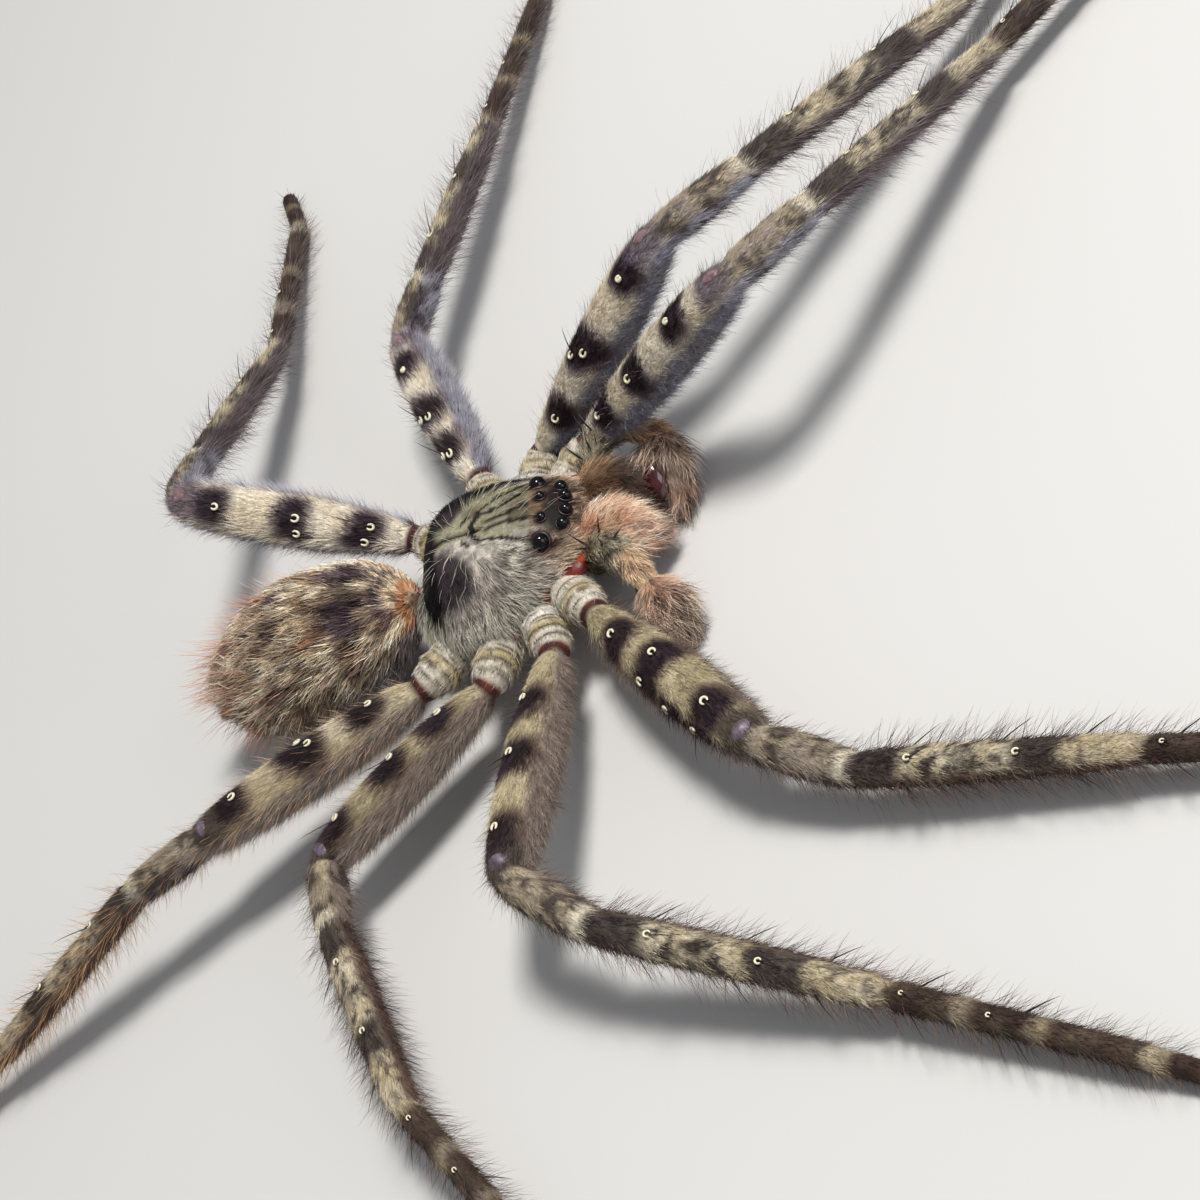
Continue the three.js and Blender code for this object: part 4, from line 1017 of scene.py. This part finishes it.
# short black bristles on the palps
for label in "LR":
    s = S[f"palp_arm_{label}"]
    for t, a in ((0.26, 96), (0.36, 60), (0.40, 122), (0.48, 90), (0.54, 128), (0.56, 52)):
        ri = np.array([t * (len(s.P) - 6)]); rj = np.array([a / 360 * s.P.shape[1]])
        p = s.at(ri, rj, s.P)[0]; nrm = unit(s.at(ri, rj, s.N))[0]; d = unit(s.at(ri, rj, s.D))[0]
        v, f = cone_strand(p - nrm * 0.02, d * 0.45 + nrm * 0.95 + rng.normal(0, 0.12, 3), 1.3, 0.062, d * 0.12)
        spine_v.append(v); spine_f.append(f + ns); ns += len(v)
spines = new_object("spines", np.concatenate(spine_v), np.concatenate(spine_f))
spines.data.materials.append(M_SPINE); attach(spines, "root")
rings = new_object("spine_sockets", np.concatenate(ring_v), np.concatenate(ring_f))
rings.data.materials.append(M_RING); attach(rings, "root")

# ------------------------------------------------------------------ eyes, fangs, claws
def sphere(centre, r, nu=20, nv=28):
    th = np.linspace(0, np.pi, nu)[1:-1]; ph = np.arange(nv) / nv * 2 * np.pi
    v = [centre + np.array([0, 0, r])]
    for a in th:
        for b in ph:
            v.append(centre + r * np.array([math.sin(a) * math.cos(b), math.sin(a) * math.sin(b), math.cos(a)]))
    v.append(centre - np.array([0, 0, r]))
    f = []
    m = len(th)
    for j in range(nv):
        j1 = (j + 1) % nv
        f.append((0, 1 + j, 1 + j1))
        for k in range(m - 1):
            a, b, c, d = 1 + k * nv + j, 1 + k * nv + j1, 1 + (k + 1) * nv + j1, 1 + (k + 1) * nv + j
            f += [(a, d, c), (a, c, b)]
        f.append((len(v) - 1, 1 + (m - 1) * nv + j1, 1 + (m - 1) * nv + j))
    return np.array(v), np.array(f)


def torus(centre, axis, R, r, steps=28, sides=8):
    axis = axis / np.linalg.norm(axis)
    a = np.cross(axis, [0.1, 0.2, 1.0]); a /= np.linalg.norm(a); b = np.cross(axis, a)
    v, f = [], []
    for k in range(steps):
        x = 2 * math.pi * k / steps
        o = a * math.cos(x) + b * math.sin(x)
        for j in range(sides):
            y = 2 * math.pi * j / sides
            v.append(centre + o * (R + r * math.cos(y)) + axis * r * math.sin(y))
    for k in range(steps):
        for j in range(sides):
            k1, j1 = (k + 1) % steps, (j + 1) % sides
            f += [(k * sides + j, k1 * sides + j, k1 * sides + j1), (k * sides + j, k1 * sides + j1, k * sides + j1)]
    return np.array(v), np.array(f)


M_BARE = material("bare_mat", rough=0.42, spec=0.4, mottle=0.35, grain=0.00025, bump_size=0.00012, bump_depth=0.00003)
vs, fs, cs, nn = [], [], [], 0
for (v, f), col in bare_pieces():
    vs.append(v); fs.append(f + nn); cs.append(np.tile(col, (len(v), 1)) * (0.3 + 0.9 * noise(v, 0.28, 71))[:, None]); nn += len(v)
bare = new_object("bare_skin", np.concatenate(vs), np.concatenate(fs), np.concatenate(cs))
bare.data.materials.append(M_BARE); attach(bare, "root")
# the dark bulb below each palp's end
vs, fs, nn = [], [], 0
for label in "LR":
    c, axes = BULB[label]
    v, f = blob(c, axes, (1.0, 0.64, 0.6), 18, 28)
    vs.append(v); fs.append(f + nn); nn += len(v)
bulbs = new_object("palp_bulbs", np.concatenate(vs), np.concatenate(fs))
bulbs.data.materials.append(M_BULB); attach(bulbs, "root")

M_RIM = material("rim_mat", base=tuple(rgb(40, 26, 22)), rough=0.4, spec=0.4, attr=False, mottle=0.4, grain=0.00015)
rim_v, rim_f, nn = [], [], 0
for nme, (x, y, z_, r) in EYES.items():
    for label, side in (("L", 1), ("R", -1)):
        c = np.array([side * x, y, z_])
        v, f = sphere(c, r * 0.99)
        o = new_object(f"eyeball_{nme}_{label}", v, f)
        o.data.materials.append(M_EYE)
        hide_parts(f"eye_{nme}_{label}"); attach(o, "root")
        q = S["prosoma"].P.reshape(-1, 3)
        axis = S["prosoma"].N.reshape(-1, 3)[np.argmin(np.linalg.norm(q - c, axis=1))]
        near = q[np.argmin(np.linalg.norm(q - c, axis=1))]
        v, f = torus(c - axis * r * 0.18, axis, r * 0.98, r * 0.2)
        rim_v.append(v); rim_f.append(f + nn); nn += len(v)
rims = new_object("eye_rims", np.concatenate(rim_v), np.concatenate(rim_f))
rims.data.materials.append(M_RIM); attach(rims, "root")

for label, side in (("L", 1), ("R", -1)):
    line = spline(((side * 1.05, -6.6, 1.2), (side * 0.85, -6.1, 0.66), (side * 0.5, -5.35, 0.6)), 24)
    t = np.linspace(0, 1, 24)
    s = tube(f"f{label}", line, 0.3 * (1 - t) ** 0.7 + 0.03, np.ones(24), np.zeros(24, int), t, "x", 16)
    nu, nv = s.P.shape[:2]
    i, j = np.meshgrid(np.arange(nu - 1), np.arange(nv), indexing="ij"); i, j = i.ravel(), j.ravel()
    a, b, c, d = i * nv + j, i * nv + (j + 1) % nv, (i + 1) * nv + (j + 1) % nv, (i + 1) * nv + j
    tri = np.concatenate([np.stack([a, d, c], 1), np.stack([a, c, b], 1)])
    k = np.arange(1, nv - 1)
    tri = np.concatenate([tri, np.stack([np.zeros(nv - 2, int), k, k + 1], 1), (nu - 1) * nv + np.stack([np.zeros(nv - 2, int), k + 1, k], 1)])
    o = new_object(f"fang_horn_{label}", s.P.reshape(-1, 3), tri)
    o.data.materials.append(M_FANG)
    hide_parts(f"fang_{label}"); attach(o, "root")

claw_v, claw_f, nn = [], [], 0
for label in "LR":
    for i in (1, 2, 3, 4):
        s = S[f"leg_{label}{i}"]
        tip = s.P[-1].mean(0); d = s.D[-3].mean(0); d /= np.linalg.norm(d)
        side = np.cross(d, UP)
        for k in (-1, 1):
            v, f = cone_strand(tip + side * 0.12 * k + np.array([0, 0, 0.08]), d * 0.9 + np.array([0, 0, 0.15]) + side * 0.25 * k, 0.42, 0.055, np.array([0, 0, -0.55]))
            v[:, 2] = np.maximum(v[:, 2], 0.02)
            claw_v.append(v); claw_f.append(f + nn); nn += len(v)
claws = new_object("claws", np.concatenate(claw_v), np.concatenate(claw_f))
claws.data.materials.append(M_FANG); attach(claws, "root")

# ------------------------------------------------------------------ floor, light, camera
floor = bpy.data.meshes.new("floor")
floor.from_pydata([(-2, -2, 0), (2, -2, 0), (2, 2, 0), (-2, 2, 0)], [], [(0, 1, 2, 3)])
floor_o = bpy.data.objects.new("floor", floor)
bpy.context.scene.collection.objects.link(floor_o)
fm = bpy.data.materials.new("floor_mat"); fm.use_nodes = True
fm.node_tree.nodes["Principled BSDF"].inputs["Base Color"].default_value = (0.62, 0.61, 0.59, 1)
fm.node_tree.nodes["Principled BSDF"].inputs["Roughness"].default_value = 0.9
floor.materials.append(fm)

AZ, EL, ROLL, DIST, FOV = -54.70, 37.41, -53.02, 152.92, 20.0
TX, TY, TZ = -4.55, -4.47, 3.0
a, e, p = math.radians(AZ), math.radians(EL), math.radians(ROLL)
back = Vector((math.sin(a) * math.cos(e), -math.cos(a) * math.cos(e), math.sin(e)))
fw = -back
r0 = fw.cross(Vector((0, 0, 1))).normalized(); u0 = r0.cross(fw)
right = r0 * math.cos(p) + u0 * math.sin(p); upv = -r0 * math.sin(p) + u0 * math.cos(p)
cam = bpy.data.cameras.new("camera")
cam.sensor_width = 36; cam.lens = 18 / math.tan(math.radians(FOV / 2)); cam.clip_start = 0.01; cam.clip_end = 10
cam_o = bpy.data.objects.new("camera", cam)
bpy.context.scene.collection.objects.link(cam_o)
loc = (Vector((TX - CX, TY - CY, TZ)) + back * DIST) * 0.001
m = Matrix((right, upv, back)).transposed().to_4x4()
m.translation = loc
cam_o.matrix_world = m
bpy.context.scene.camera = cam_o


def area(name, direction, dist, size_, power, color=(1, 1, 1)):
    l = bpy.data.lights.new(name, "AREA")
    l.size = size_; l.energy = power; l.color = color
    o = bpy.data.objects.new(name, l)
    d = Vector(direction).normalized()
    o.location = d * dist
    o.rotation_euler = (-d).to_track_quat("-Z", "Y").to_euler()
    bpy.context.scene.collection.objects.link(o)
    return o


key_dir = back * 0.75 + upv * 0.75 - right * 0.25
area("key", key_dir, 0.35, 0.08, 1.35, (1.0, 0.98, 0.95))
area("fill", back * 0.6 + right * 0.9 + Vector((0, 0, 0.6)), 0.4, 0.22, 0.42, (0.92, 0.95, 1.0))
world = bpy.data.worlds.new("world"); world.use_nodes = True
world.node_tree.nodes["Background"].inputs["Color"].default_value = (0.9, 0.93, 1.0, 1)
world.node_tree.nodes["Background"].inputs["Strength"].default_value = 0.28
bpy.context.scene.world = world
bpy.context.scene.view_settings.view_transform = "Standard"
